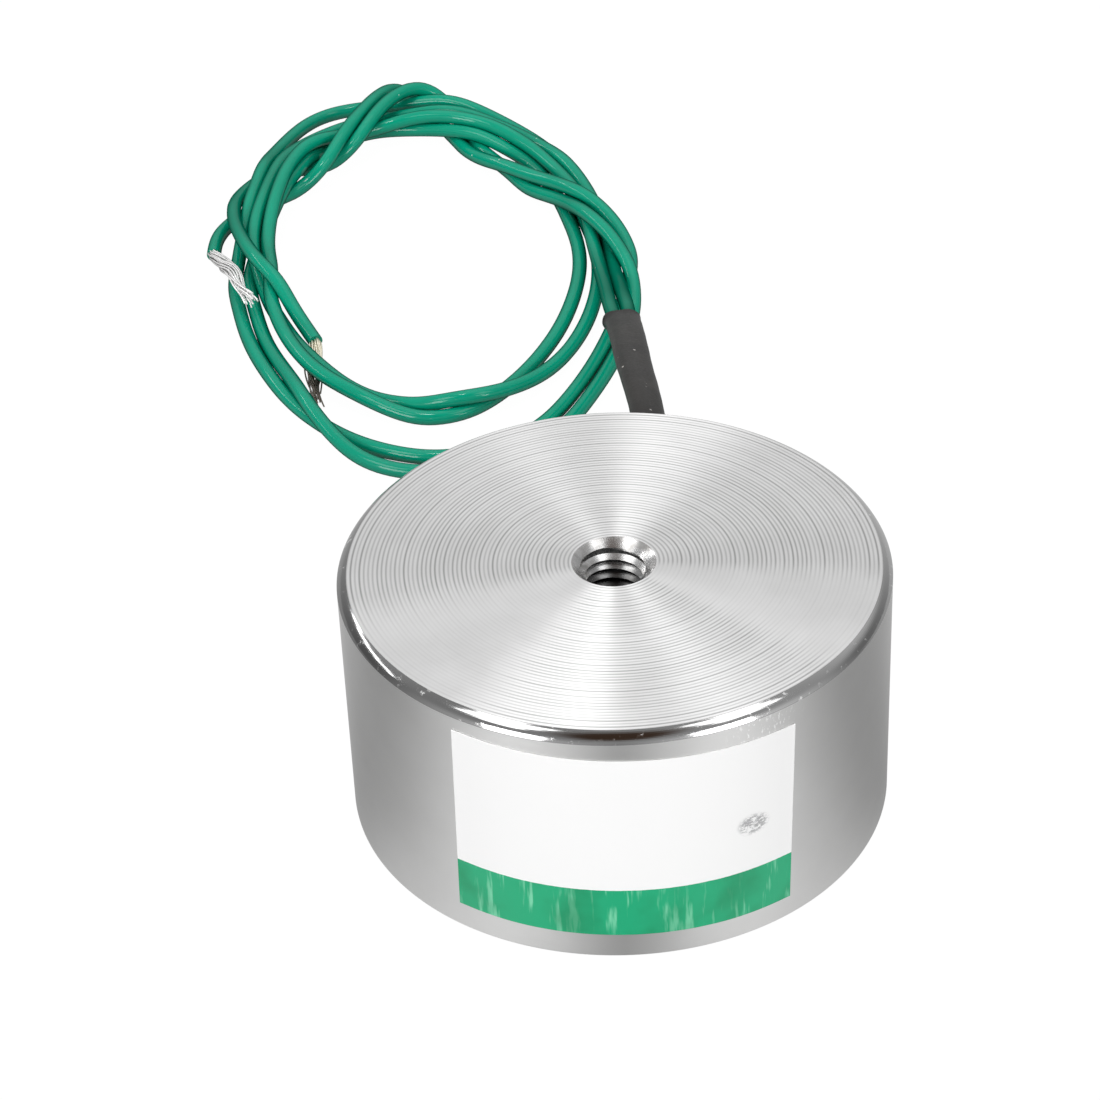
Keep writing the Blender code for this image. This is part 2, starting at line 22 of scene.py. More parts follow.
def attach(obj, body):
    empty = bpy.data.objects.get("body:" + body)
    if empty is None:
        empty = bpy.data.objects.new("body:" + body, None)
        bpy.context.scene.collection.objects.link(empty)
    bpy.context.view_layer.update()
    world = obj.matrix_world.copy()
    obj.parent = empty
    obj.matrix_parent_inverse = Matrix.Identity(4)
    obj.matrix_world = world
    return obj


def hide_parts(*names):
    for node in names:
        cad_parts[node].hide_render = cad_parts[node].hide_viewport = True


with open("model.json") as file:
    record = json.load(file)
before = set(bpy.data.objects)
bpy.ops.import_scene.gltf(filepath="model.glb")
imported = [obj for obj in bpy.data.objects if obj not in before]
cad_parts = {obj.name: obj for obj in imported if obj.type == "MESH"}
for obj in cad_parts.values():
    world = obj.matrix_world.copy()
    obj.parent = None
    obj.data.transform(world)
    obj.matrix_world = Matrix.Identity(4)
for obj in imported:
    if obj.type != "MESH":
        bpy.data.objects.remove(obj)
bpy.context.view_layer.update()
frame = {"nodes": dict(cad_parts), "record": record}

MM = 0.001
GOLDEN_ANGLE = 2.39996
LOG = logging.getLogger("holding_electromagnet")

Colour = tuple[float, float, float]
Point = tuple[float, float, float]
Pair = tuple[float, float]
Socket = bpy.types.NodeSocket


class Zone(Enum):
    """The surfaces of the turned housing that are finished differently."""

    FACE = 0
    WALL = 1
    RIM = 2
    BORE = 3
    INSIDE = 4


class Lead(Enum):
    """The two leads. The value is the side of the lead hole that each one keeps to."""

    A = 1
    B = -1


# ---- Node trees


class Output:
    """A node's output, on which sums are written as on a number."""

    def __init__(self, sketch: "Sketch", socket: Socket) -> None:
        """Keep the tree's sketch and the output socket."""
        self.sketch = sketch
        self.socket = socket

    def __add__(self, other: object) -> "Output":
        """The sum."""
        return self.sketch.math("ADD", self, other)

    def __sub__(self, other: object) -> "Output":
        """The difference."""
        return self.sketch.math("SUBTRACT", self, other)

    def __mul__(self, other: object) -> "Output":
        """The product."""
        return self.sketch.math("MULTIPLY", self, other)

    def __truediv__(self, other: object) -> "Output":
        """The quotient."""
        return self.sketch.math("DIVIDE", self, other)

    def __pow__(self, other: object) -> "Output":
        """The power."""
        return self.sketch.math("POWER", self, other)


class Sketch:
    """A node tree with short calls that add its nodes and join them."""

    def __init__(self, tree: bpy.types.NodeTree) -> None:
        """Keep the tree of a material, a world or a group, and empty it."""
        self.tree = tree
        tree.nodes.clear()

    def node(self, kind: str, **settings: object) -> bpy.types.Node:
        """Add a node.

        Args:
            kind: The node's type name.
            settings: Properties to set on it.

        Returns:
            The new node.
        """
        made = self.tree.nodes.new(kind)
        for key, value in settings.items():
            setattr(made, key, value)
        return made

    def feed(self, socket: Socket, value: object) -> None:
        """Join an output to a socket, or set the socket's own value.

        Args:
            socket: The input to feed.
            value: An output, a number, a vector or a colour.
        """
        if isinstance(value, Output):
            value = value.socket
        if isinstance(value, bpy.types.NodeSocket):
            self.tree.links.new(value, socket)
        elif socket.type == "RGBA":
            socket.default_value = (*value, 1.0)
        else:
            socket.default_value = value

    def make(self, kind: str, inputs: Sequence | dict, out: int | str = 0, **settings: object) -> Output:
        """Add a node, feed its inputs and take one of its outputs.

        Args:
            kind: The node's type name.
            inputs: What is fed, in order or by the inputs' names or numbers.
            out: The output to take.
            settings: Properties to set on the node.

        Returns:
            The output.
        """
        made = self.node(kind, **settings)
        for key, value in inputs.items() if isinstance(inputs, dict) else enumerate(inputs):
            self.feed(made.inputs[key], value)
        return Output(self, made.outputs[out])

    def math(self, operation: str, *values: object) -> Output:
        """The result of a Math node."""
        return self.make("ShaderNodeMath", values, operation=operation)

    def remap(self, value: object, low: float, high: float, to_low: float = 0.0, to_high: float = 1.0) -> Output:
        """A smooth step of a value from one range to another."""
        return self.make("ShaderNodeMapRange", (value, low, high, to_low, to_high), interpolation_type="SMOOTHSTEP")

    def blend(self, factor: object, first: object, second: object) -> Output:
        """Two colours mixed, with this share of the second."""
        return self.make("ShaderNodeMix", {0: factor, 6: first, 7: second}, 2, data_type="RGBA")

    def split(self, vector: object) -> tuple[Output, ...]:
        """The three parts of a vector."""
        node = self.make("ShaderNodeSeparateXYZ", (vector,)).socket.node
        return tuple(Output(self, part) for part in node.outputs)

    def stretch(self, vector: object, factors: Sequence[float]) -> Output:
        """A vector multiplied part by part."""
        return self.make("ShaderNodeVectorMath", (vector, factors), operation="MULTIPLY")

    def distance(self, vector: object, spot: Sequence[float]) -> Output:
        """How far a vector is from a spot."""
        return self.make("ShaderNodeVectorMath", (vector, spot), "Value", operation="DISTANCE")

    def noise(self, vector: object, scale: object, detail: float = 3.0, rough: float = 0.5) -> Output:
        """Cloudy noise about 0.5, in cells per metre."""
        fed = {"Vector": vector, "Scale": scale, "Detail": detail, "Roughness": rough}
        return self.make("ShaderNodeTexNoise", fed)

    def noise_along(self, distance: object, scale: float) -> Output:
        """Noise that changes along one distance only."""
        fed = {"W": distance, "Scale": scale, "Detail": 2.0}
        return self.make("ShaderNodeTexNoise", fed, noise_dimensions="1D")


class Group(Sketch):
    """A shader node group. An input called Place is a vector, and every other socket is a number."""

    def __init__(self, name: str, inputs: Sequence[str], outputs: Sequence[str]) -> None:
        """Start the group.

        Args:
            name: Its name.
            inputs: Its inputs' names.
            outputs: Its outputs' names.
        """
        super().__init__(bpy.data.node_groups.new(name, "ShaderNodeTree"))
        for side, labels in (("INPUT", inputs), ("OUTPUT", outputs)):
            for label in labels:
                kind = "NodeSocketVector" if label == "Place" else "NodeSocketFloat"
                self.tree.interface.new_socket(label, in_out=side, socket_type=kind)
        given = self.node("NodeGroupInput")
        self.given = [Output(self, given.outputs[label]) for label in inputs]
        self.result = self.node("NodeGroupOutput")

    def put_out(self, *values: Output) -> bpy.types.NodeTree:
        """Feed the group's outputs in order.

        Args:
            values: What they put out.

        Returns:
            The group's tree.
        """
        for socket, value in zip(self.result.inputs, values):
            self.feed(socket, value)
        return self.tree


class SharedEffects:
    """Effects that several finishes use, each built once as a node group."""

    def __init__(self) -> None:
        """Build every group."""
        self.grooves = self._grooves()
        self.specks = self._specks()
        self.clouds = self._clouds()

    @staticmethod
    def _grooves() -> bpy.types.NodeTree:
        """Fine grooves that a turning tool leaves, of uneven depth across a distance.

        Returns:
            The group.
        """
        group = Group("turning_grooves", ("Across", "Pitch", "Waver"), ("Height", "Tone"))
        across, pitch, waver = group.given
        turns = across / pitch
        drift = (group.noise_along(turns, 0.11) - 0.5) * waver
        wave = group.math("SINE", (turns + drift) * (2 * math.pi)) * 0.5 + 0.5
        uneven = group.noise_along(turns, 0.9)
        depth = group.remap(uneven, 0.3, 0.7, 0.68, 1.0)
        return group.put_out(wave * depth, wave * group.remap(uneven, 0.35, 0.65))

    @staticmethod
    def _specks() -> bpy.types.NodeTree:
        """Scattered specks of dust or small nicks, as a mask.

        Returns:
            The group.
        """
        group = Group("scattered_specks", ("Place", "Cells", "Size", "Share"), ("Mask",))
        place, cells, size, share = group.given
        cell = group.make("ShaderNodeTexVoronoi", {"Vector": place, "Scale": cells}, "Distance", feature="F1")
        chance = group.make("ShaderNodeSeparateColor", (cell.socket.node.outputs["Color"],))
        return group.put_out(group.math("LESS_THAN", cell, size) * group.math("LESS_THAN", chance, share))

    @staticmethod
    def _clouds() -> bpy.types.NodeTree:
        """Soft uneven tone, between two values.

        Returns:
            The group.
        """
        group = Group("uneven_tone", ("Place", "Cells", "Low", "High"), ("Value",))
        place, cells, low, high = group.given
        cloud = group.noise(place, cells, 3.0, 0.55)
        return group.put_out(group.make("ShaderNodeMapRange", (cloud, 0.3, 0.7, low, high)))


class Coat(Sketch):
    """A material's tree, with its shader, the object's own coordinates and the shared effects."""

    def __init__(self, name: str, effects: SharedEffects) -> None:
        """Start a material with a plain shader.

        Args:
            name: Its name.
            effects: The shared groups.
        """
        self.material = bpy.data.materials.new(name)
        self.material.use_nodes = True
        super().__init__(self.material.node_tree)
        self.effects = effects
        self.shader = self.node("ShaderNodeBsdfPrincipled")
        self.feed(self.node("ShaderNodeOutputMaterial").inputs[0], self.shader.outputs[0])
        self.place = self.make("ShaderNodeTexCoord", (), "Object")

    def dress(self, **inputs: object) -> None:
        """Feed inputs of the shader.

        Args:
            inputs: What is fed, by the inputs' names in small letters, with underscores for spaces.
        """
        for name, value in inputs.items():
            label = name.replace("_", " ").title().replace("Ior", "IOR")
            self.feed(self.shader.inputs[label], value)

    def clouds(self, cells: float) -> Output:
        """Soft uneven tone from 0 to 1."""
        fed = {"Place": self.place, "Cells": cells, "Low": 0.0, "High": 1.0}
        return self.make("ShaderNodeGroup", fed, node_tree=self.effects.clouds)

    def specks(self, cells: float, size: float, share: float) -> Output:
        """A mask of specks of this size, in this share of the cells."""
        fed = {"Place": self.place, "Cells": cells, "Size": size, "Share": share}
        return self.make("ShaderNodeGroup", fed, node_tree=self.effects.specks)

    def grooves(self, across: object, pitch: float, waver: float = 0.0, out: str = "Height") -> Output:
        """The height or the tone of tool marks across a distance."""
        fed = {"Across": across, "Pitch": pitch, "Waver": waver}
        return self.make("ShaderNodeGroup", fed, out, node_tree=self.effects.grooves)

    def grain(self, scale: float, detail: float = 3.0, rough: float = 0.5, factors: Point = (1.0, 1.0, 1.0)) -> Output:
        """Noise over the piece, whose coordinates are first multiplied by the factors."""
        return self.noise(self.stretch(self.place, factors), scale, detail, rough)

    def near(self, spot: Vector, inner: float, outer: float, squeeze: float = 1.0) -> Output:
        """A mask of the surface near a spot.

        Args:
            spot: The spot.
            inner: How far the full mask reaches.
            outer: Where it ends.
            squeeze: How much flatter than wide the spot is.

        Returns:
            The mask.
        """
        reach = self.distance(self.stretch(self.place, (1.0, 1.0, squeeze)), (spot.x, spot.y, spot.z * squeeze))
        return self.remap(reach, inner, outer, 1.0, 0.0)

    def from_axis(self) -> Output:
        """The distance from the magnet's axis."""
        x, y, _ = self.split(self.place)
        return self.math("SQRT", x * x + y * y)

    def facing(self) -> Output:
        """How far the surface turns away from the viewer."""
        return self.make("ShaderNodeLayerWeight", (0.5,), "Facing")

    def bump(self, height: object, depth: float) -> Output:
        """The normal that a height gives, where a height of 1 is this deep."""
        return self.make("ShaderNodeBump", {"Strength": 1.0, "Distance": depth, "Height": height})

    def brush(self, strength: float) -> None:
        """Make the steel mirror as steel does with lines round its axis."""
        tangent = self.make("ShaderNodeTangent", (), direction_type="RADIAL", axis="Z")
        self.dress(anisotropic=strength, anisotropic_rotation=0.25, tangent=tangent)


# ---- Finishes


@dataclass(frozen=True)
class Finish:
    """A surface finish that becomes one material."""

    name: str
    colour: Colour
    roughness: float

    def material(self, effects: SharedEffects) -> bpy.types.Material:
        """Build the finish's material.

        Args:
            effects: The shared groups.

        Returns:
            The material.
        """
        coat = Coat(self.name, effects)
        coat.dress(base_color=self.colour, roughness=self.roughness)
        self.paint(coat)
        coat.material.diffuse_color = (*self.colour, 1.0)
        return coat.material

    def darker(self, share: float) -> Colour:
        """The finish's colour, times a share."""
        return tuple(share * part for part in self.colour)

    def paint(self, coat: Coat) -> None:
        """Add the finish's own detail to a plain shader.

        Args:
            coat: The material.
        """
        raise NotImplementedError


@dataclass(frozen=True)
class FacedSteel(Finish):
    """A turned flat face, with the tool's rings round the axis."""

    pitch: float = 0.32 * MM
    groove_depth: float = 5.0e-6
    dish: float = 0.04
    # Wedges, as azimuth and half width in degrees, where the rings are smoother and their painted shade fades.
    smooth_unshaded_wedges: tuple[Pair, ...] = ((-52.0, 30.0), (66.0, 22.0))

    def smooth_unshaded_share(self, coat: Coat, radius: Output) -> object:
        """How smooth the face looks at each direction from its axis, and how far the rings' painted shade fades there.

        Args:
            coat: The material.
            radius: The distance from the axis.

        Returns:
            A value from 0 to 1.
        """
        smooth: object = 0.0
        x, y, _ = coat.split(coat.place)
        for azimuth, reach in self.smooth_unshaded_wedges:
            turn = math.radians(azimuth)
            along = x * math.sin(turn) + y * -math.cos(turn)
            part = coat.remap(along / radius, math.cos(math.radians(reach)), 0.99)
            smooth = coat.math("MAXIMUM", smooth, part)
        return smooth

    def paint(self, coat: Coat) -> None:
        """Rings by the distance from the axis, whose flanks lean outwards and whose lines carry painted shade, faint
        clouds and a few nicks.

        Args:
            coat: The material.
        """
        radius = coat.from_axis()
        rings = coat.grooves(radius, self.pitch)
        fine = coat.grooves(radius, self.pitch * 0.31, 0.3)
        clear = self.smooth_unshaded_share(coat, radius) * -0.85 + 1.0
        height = radius * (-self.dish / self.groove_depth) + (fine * 0.15 + rings) * clear
        clouds = coat.clouds(260.0)
        # Painted shade: each ring's line is darkened in the colour, less in the smooth wedges.
        tone = coat.blend(rings**1.8 * clear, self.colour, self.darker(0.46))
        tone = coat.blend(clouds * 0.10, tone, (0.42, 0.41, 0.40))
        tone = coat.blend(coat.specks(420.0, 0.055, 0.10), tone, (0.95, 0.95, 0.95))
        coat.brush(0.95)
        rough = clouds * 0.06 + (self.roughness - 0.03)
        coat.dress(base_color=tone, metallic=1.0, roughness=rough, normal=coat.bump(height, self.groove_depth))


@dataclass(frozen=True)
class WallSteel(Finish):
    """The turned and plated side wall, with very fine lines round it and scratches at one handled place."""

    handled: Vector = field(default_factory=Vector)

    def paint(self, coat: Coat) -> None:
        """Fine lines by height, soft clouds, a few small pits and the scratches.

        Args:
            coat: The material.
        """
        lines = coat.grooves(coat.split(coat.place)[2], 0.11 * MM, 0.6)
        grain = coat.grain(900.0, 3.0, 0.6, (1.0, 1.0, 4.0))
        strokes = coat.grain(2600.0, 3.0, 0.7, (1.6, 1.6, 0.7))
        scratched = coat.near(self.handled, 1.2 * MM, 3.6 * MM, 2.0) * coat.remap(strokes, 0.56, 0.64)
        tone = coat.blend(coat.clouds(170.0) * 0.16, self.colour, (0.50, 0.49, 0.48))
        tone = coat.blend(coat.specks(520.0, 0.045, 0.06), tone, (0.30, 0.29, 0.28))
        tone = coat.blend(scratched, tone, (1.0, 1.0, 1.0))
        coat.brush(0.8)
        rough = grain * 0.10 + (self.roughness - 0.05)
        coat.dress(base_color=tone, metallic=1.0, roughness=rough, normal=coat.bump(grain * 0.5 + lines, 0.35e-6))


@dataclass(frozen=True)
class RimSteel(Finish):
    """The polished rim, with handling marks."""

    def paint(self, coat: Coat) -> None:
        """Fine lines round the rim, small worn marks that are brighter and rougher, and painted shade that darkens its
        -X side.

        Args:
            coat: The material.
        """
        x, _, z = coat.split(coat.place)
        marks = coat.grain(1500.0, 4.0, 0.65)
        worn = coat.remap(marks, 0.60, 0.74)
        # Painted shade: the rim is darker on its -X side and takes its full colour towards +X.
        tone = coat.blend(coat.remap(x, -16 * MM, 18 * MM), self.darker(0.6), self.colour)
        tone = coat.blend(worn, tone, (0.85, 0.85, 0.85))
        height = marks * 0.9 + coat.grooves(z, 0.08 * MM, 0.8)
        rough = worn * 0.22 + self.roughness
        coat.dress(base_color=tone, metallic=1.0, roughness=rough, normal=coat.bump(height, 0.8e-6))


@dataclass(frozen=True)
class CutSteel(Finish):
    """Drilled, tapped and bored steel, with painted shade that darkens it as it goes deeper."""

    # Heights below which the painted shade is full, and above which it is gone.
    shade_full_below: float = -1.0
    shade_gone_above: float = -0.9

    def paint(self, coat: Coat) -> None:
        """Torn, uneven tone with a darker film.

        Args:
            coat: The material.
        """
        z = coat.split(coat.place)[2]
        film = coat.grain(700.0, 4.0, 0.6)
        tone = coat.blend(coat.remap(film, 0.35, 0.7), self.colour, (0.34, 0.33, 0.32))
        # Painted shade: nearly black below one height, fading out by a higher one.
        tone = coat.blend(coat.remap(z, self.shade_full_below, self.shade_gone_above, 0.95, 0.0), tone, (0.03, 0.03, 0.03))
        height = film * 2.0 + coat.grooves(z, 0.06 * MM, 1.2)
        rough = film * 0.25 + (self.roughness - 0.1)
        coat.dress(base_color=tone, metallic=1.0, roughness=rough, normal=coat.bump(height, 1.6e-6))


@dataclass(frozen=True)
class CastResin(Finish):
    """Black casting resin, ground flush, with small voids."""

    def paint(self, coat: Coat) -> None:
        """Grinding lines, filler grain and voids.

        Args:
            coat: The material.
        """
        grain = coat.grain(4200.0, 3.0, 0.6)
        voids = coat.specks(700.0, 0.16, 0.12)
        tone = coat.blend(coat.clouds(300.0), self.colour, (0.055, 0.052, 0.050))
        tone = coat.blend(voids, tone, (0.008, 0.008, 0.008))
        rough = grain * 0.25 + (self.roughness - 0.1)
        coat.dress(base_color=tone, roughness=rough, normal=coat.bump(voids * -3.0 + grain, 6e-6))


@dataclass(frozen=True)
class Insulation(Finish):
    """Soft extruded insulation, satin, with a faint drag and dust."""

    dark: Colour = (0.0005, 0.20, 0.115)
    # The colour of the painted shade on edges that turn away from the viewer.
    edge: Colour = (0.0003, 0.075, 0.045)

    def paint(self, coat: Coat) -> None:
        """Soft clouds, fine drag marks, pale dust and a thin gloss, with painted shade: deeper green where it turns
        away.

        Args:
            coat: The material.
        """
        grain = coat.grain(2600.0, 3.0, 0.6)
        lint = coat.remap(coat.grain(800.0, 4.0, 0.7, (1.0, 2.5, 1.0)), 0.70, 0.80)
        soiled = coat.math("MAXIMUM", coat.specks(1100.0, 0.10, 0.045), lint * 0.5)
        # Painted shade: the colour goes to the edge green where the surface turns away; the gloss thins there too.
        away = coat.remap(coat.facing(), 0.42, 0.88, 0.0, 0.9)
        tone = coat.blend(coat.clouds(230.0) * 0.22, self.colour, self.dark)
        tone = coat.blend(soiled * 0.55, tone, (0.55, 0.75, 0.66))
        coat.dress(
            base_color=coat.blend(away, tone, self.edge),
            roughness=grain * 0.16 + (self.roughness - 0.08),
            specular_ior_level=0.0,
            coat_weight=away * -0.6 + 0.54,
            coat_roughness=0.10,
            normal=coat.bump(soiled * 1.5 + grain, 3e-6),
        )


@dataclass(frozen=True)
class ShrunkTubing(Finish):
    """Matte black shrunk tubing with pale dust and lint."""

    def paint(self, coat: Coat) -> None:
        """Grain, rubbed patches and dust.

        Args:
            coat: The material.
        """
        grain = coat.grain(3500.0, 4.0, 0.65)
        soiled = coat.math("MAXIMUM", coat.specks(900.0, 0.12, 0.10), coat.specks(2300.0, 0.16, 0.07) * 0.5)
        tone = coat.blend(coat.clouds(330.0), self.colour, (0.024, 0.022, 0.020))
        coat.dress(
            base_color=coat.blend(soiled, tone, (0.42, 0.40, 0.38)),
            roughness=grain * 0.2 + (self.roughness - 0.1),
            specular_ior_level=0.25,
            normal=coat.bump(soiled * 1.2 + grain, 1.2e-5),
        )


@dataclass(frozen=True)
class TinnedCopper(Finish):
    """Fine tinned wires, with painted shade on edges that turn away, seen as dark gaps between them, and a painted
    shadow towards one place.
    """

    # Where the painted shadow lies, how far it reaches, and its colour.
    painted_shadow_at: Vector = field(default_factory=Vector)
    painted_shadow_reach: float = 4.0 * MM
    painted_shadow: Colour = (0.30, 0.26, 0.22)
    metal: float = 0.5

    def paint(self, coat: Coat) -> None:
        """Streaks of tin, a painted shadow near one place, and painted shade on edges as they turn away.

        Args:
            coat: The material.
        """
        streaks = coat.grain(2200.0, 3.0, 0.6)
        tone = coat.blend(coat.remap(streaks, 0.45, 0.75, 0.0, 0.6), self.colour, self.darker(0.72))
        # Painted shadow: darker near one spot, where the strands lie in shade.
        tone = coat.blend(coat.near(self.painted_shadow_at, 0.4 * self.painted_shadow_reach, self.painted_shadow_reach), tone, self.painted_shadow)
        # Painted shade: nearly black where the wires turn away, seen as dark gaps between them.
        tone = coat.blend(coat.remap(coat.facing(), 0.62, 0.95), tone, (0.030, 0.028, 0.026))
        rough = streaks * 0.2 + (self.roughness - 0.1)
        coat.dress(base_color=tone, metallic=self.metal, roughness=rough, normal=coat.bump(streaks, 2e-6))


@dataclass(frozen=True)
class LabelFilm(Finish):
    """A pale printed film: a white field above a green band, with creases and a rubbed patch."""

    band: Colour = (0.008, 0.41, 0.19)
    band_top: float = 6.30 * MM
    tilt: float = 0.019
    ragged: float = 0.05 * MM
    rubbed: Vector = field(default_factory=Vector)

    def paint(self, coat: Coat) -> None:
        """The two fields by height, streaks in the ink, creases and the rubbed patch.

        Args:
            coat: The material.
        """
        x, _, z = coat.split(coat.place)
        level = coat.grain(2500.0, 2.0, 0.5) * self.ragged + (x * self.tilt + z)
        white_part = coat.remap(level, self.band_top, self.band_top + self.ragged)
        streaks = coat.grain(1500.0, 3.0, 0.6, (1.0, 1.0, 0.12))
        creases = coat.grain(420.0, 3.0, 0.5, (1.0, 1.0, 0.25))
        scratches = coat.remap(coat.grain(3000.0, 3.0, 0.7, (1.0, 1.0, 2.0)), 0.44, 0.55)
        scuff = coat.near(self.rubbed, 0.75 * MM, 1.45 * MM, 1.35) * scratches
        ink = coat.blend(coat.remap(streaks, 0.53, 0.70), self.band, (0.20, 0.68, 0.42))
        ink = coat.blend(coat.remap(coat.grain(210.0), 0.42, 0.68, 0.0, 0.7), ink, (0.0, 0.25, 0.10))
        tone = coat.blend(white_part, ink, self.colour)
        coat.dress(
            base_color=coat.blend(scuff, tone, (0.52, 0.52, 0.53)),
            metallic=scuff * 0.8,
            roughness=white_part * 0.14 + self.roughness,
            normal=coat.bump(scuff * -0.4 + (streaks * 0.12 + creases), 3.2e-5),
        )


@dataclass(frozen=True)
class WoundCopper(Finish):
    """Enamelled wire, wound in layers whose turns show as ridges."""

    pitch: float = 0.42 * MM

    def paint(self, coat: Coat) -> None:
        """Ridges by height and by radius, and an uneven lacquer.

        Args:
            coat: The material.
        """
        turns = coat.grooves(coat.split(coat.place)[2] + coat.from_axis(), self.pitch, 0.3)
        tone = coat.blend(coat.clouds(260.0), self.colour, self.darker(0.7))
        coat.dress(base_color=tone, metallic=0.9, coat_weight=0.6, normal=coat.bump(turns, 6e-5))


@dataclass(frozen=True)
class MouldedNylon(Finish):
    """Natural moulded nylon."""

    def paint(self, coat: Coat) -> None:
        """Faint flow clouds and a fine moulded grain.

        Args:
            coat: The material.
        """
        grain = coat.grain(3000.0, 2.0, 0.6)
        tone = coat.blend(coat.clouds(120.0), self.colour, self.darker(0.86))
        rough = grain * 0.2 + (self.roughness - 0.1)
        coat.dress(base_color=tone, roughness=rough, normal=coat.bump(grain, 4e-6))


@dataclass(frozen=True)
class WrappedTape(Finish):
    """Glossy film tape, wrapped in overlapping bands."""

    def paint(self, coat: Coat) -> None:
        """Overlap lines by height and small wrinkles.

        Args:
            coat: The material.
        """
        bands = coat.grooves(coat.split(coat.place)[2], 3.1 * MM, 0.4, "Tone")
        wrinkles = coat.grain(700.0, 3.0, 0.6, (1.0, 1.0, 0.3))
        tone = coat.blend(bands, self.colour, self.darker(0.72))
        coat.dress(base_color=tone, normal=coat.bump(wrinkles, 3e-5))


@dataclass(frozen=True)
class Solder(Finish):
    """Cooled solder over a twisted joint."""

    def paint(self, coat: Coat) -> None:
        """A frosted, lumpy skin.

        Args:
            coat: The material.
        """
        lumps = coat.grain(1800.0, 3.0, 0.6)
        tone = coat.blend(lumps, self.colour, (0.42, 0.41, 0.40))
        rough = lumps * 0.3 + (self.roughness - 0.1)
        coat.dress(base_color=tone, metallic=1.0, roughness=rough, normal=coat.bump(lumps, 4e-5))


@dataclass(frozen=True)
class WovenTubing(Finish):
    """Woven glass tubing over a splice."""

    pitch: float = 0.3 * MM

    def paint(self, coat: Coat) -> None:
        """A fine crossed weave.

        Args:
            coat: The material.
        """
        x, y, z = coat.split(coat.place)
        weave = coat.grooves(x + y + z, self.pitch, 0.2) * coat.grooves(x + y - z, self.pitch, 0.2)
        coat.dress(base_color=coat.blend(weave, self.darker(0.75), self.colour), normal=coat.bump(weave, 4e-5))


# ---- Modelling by hand


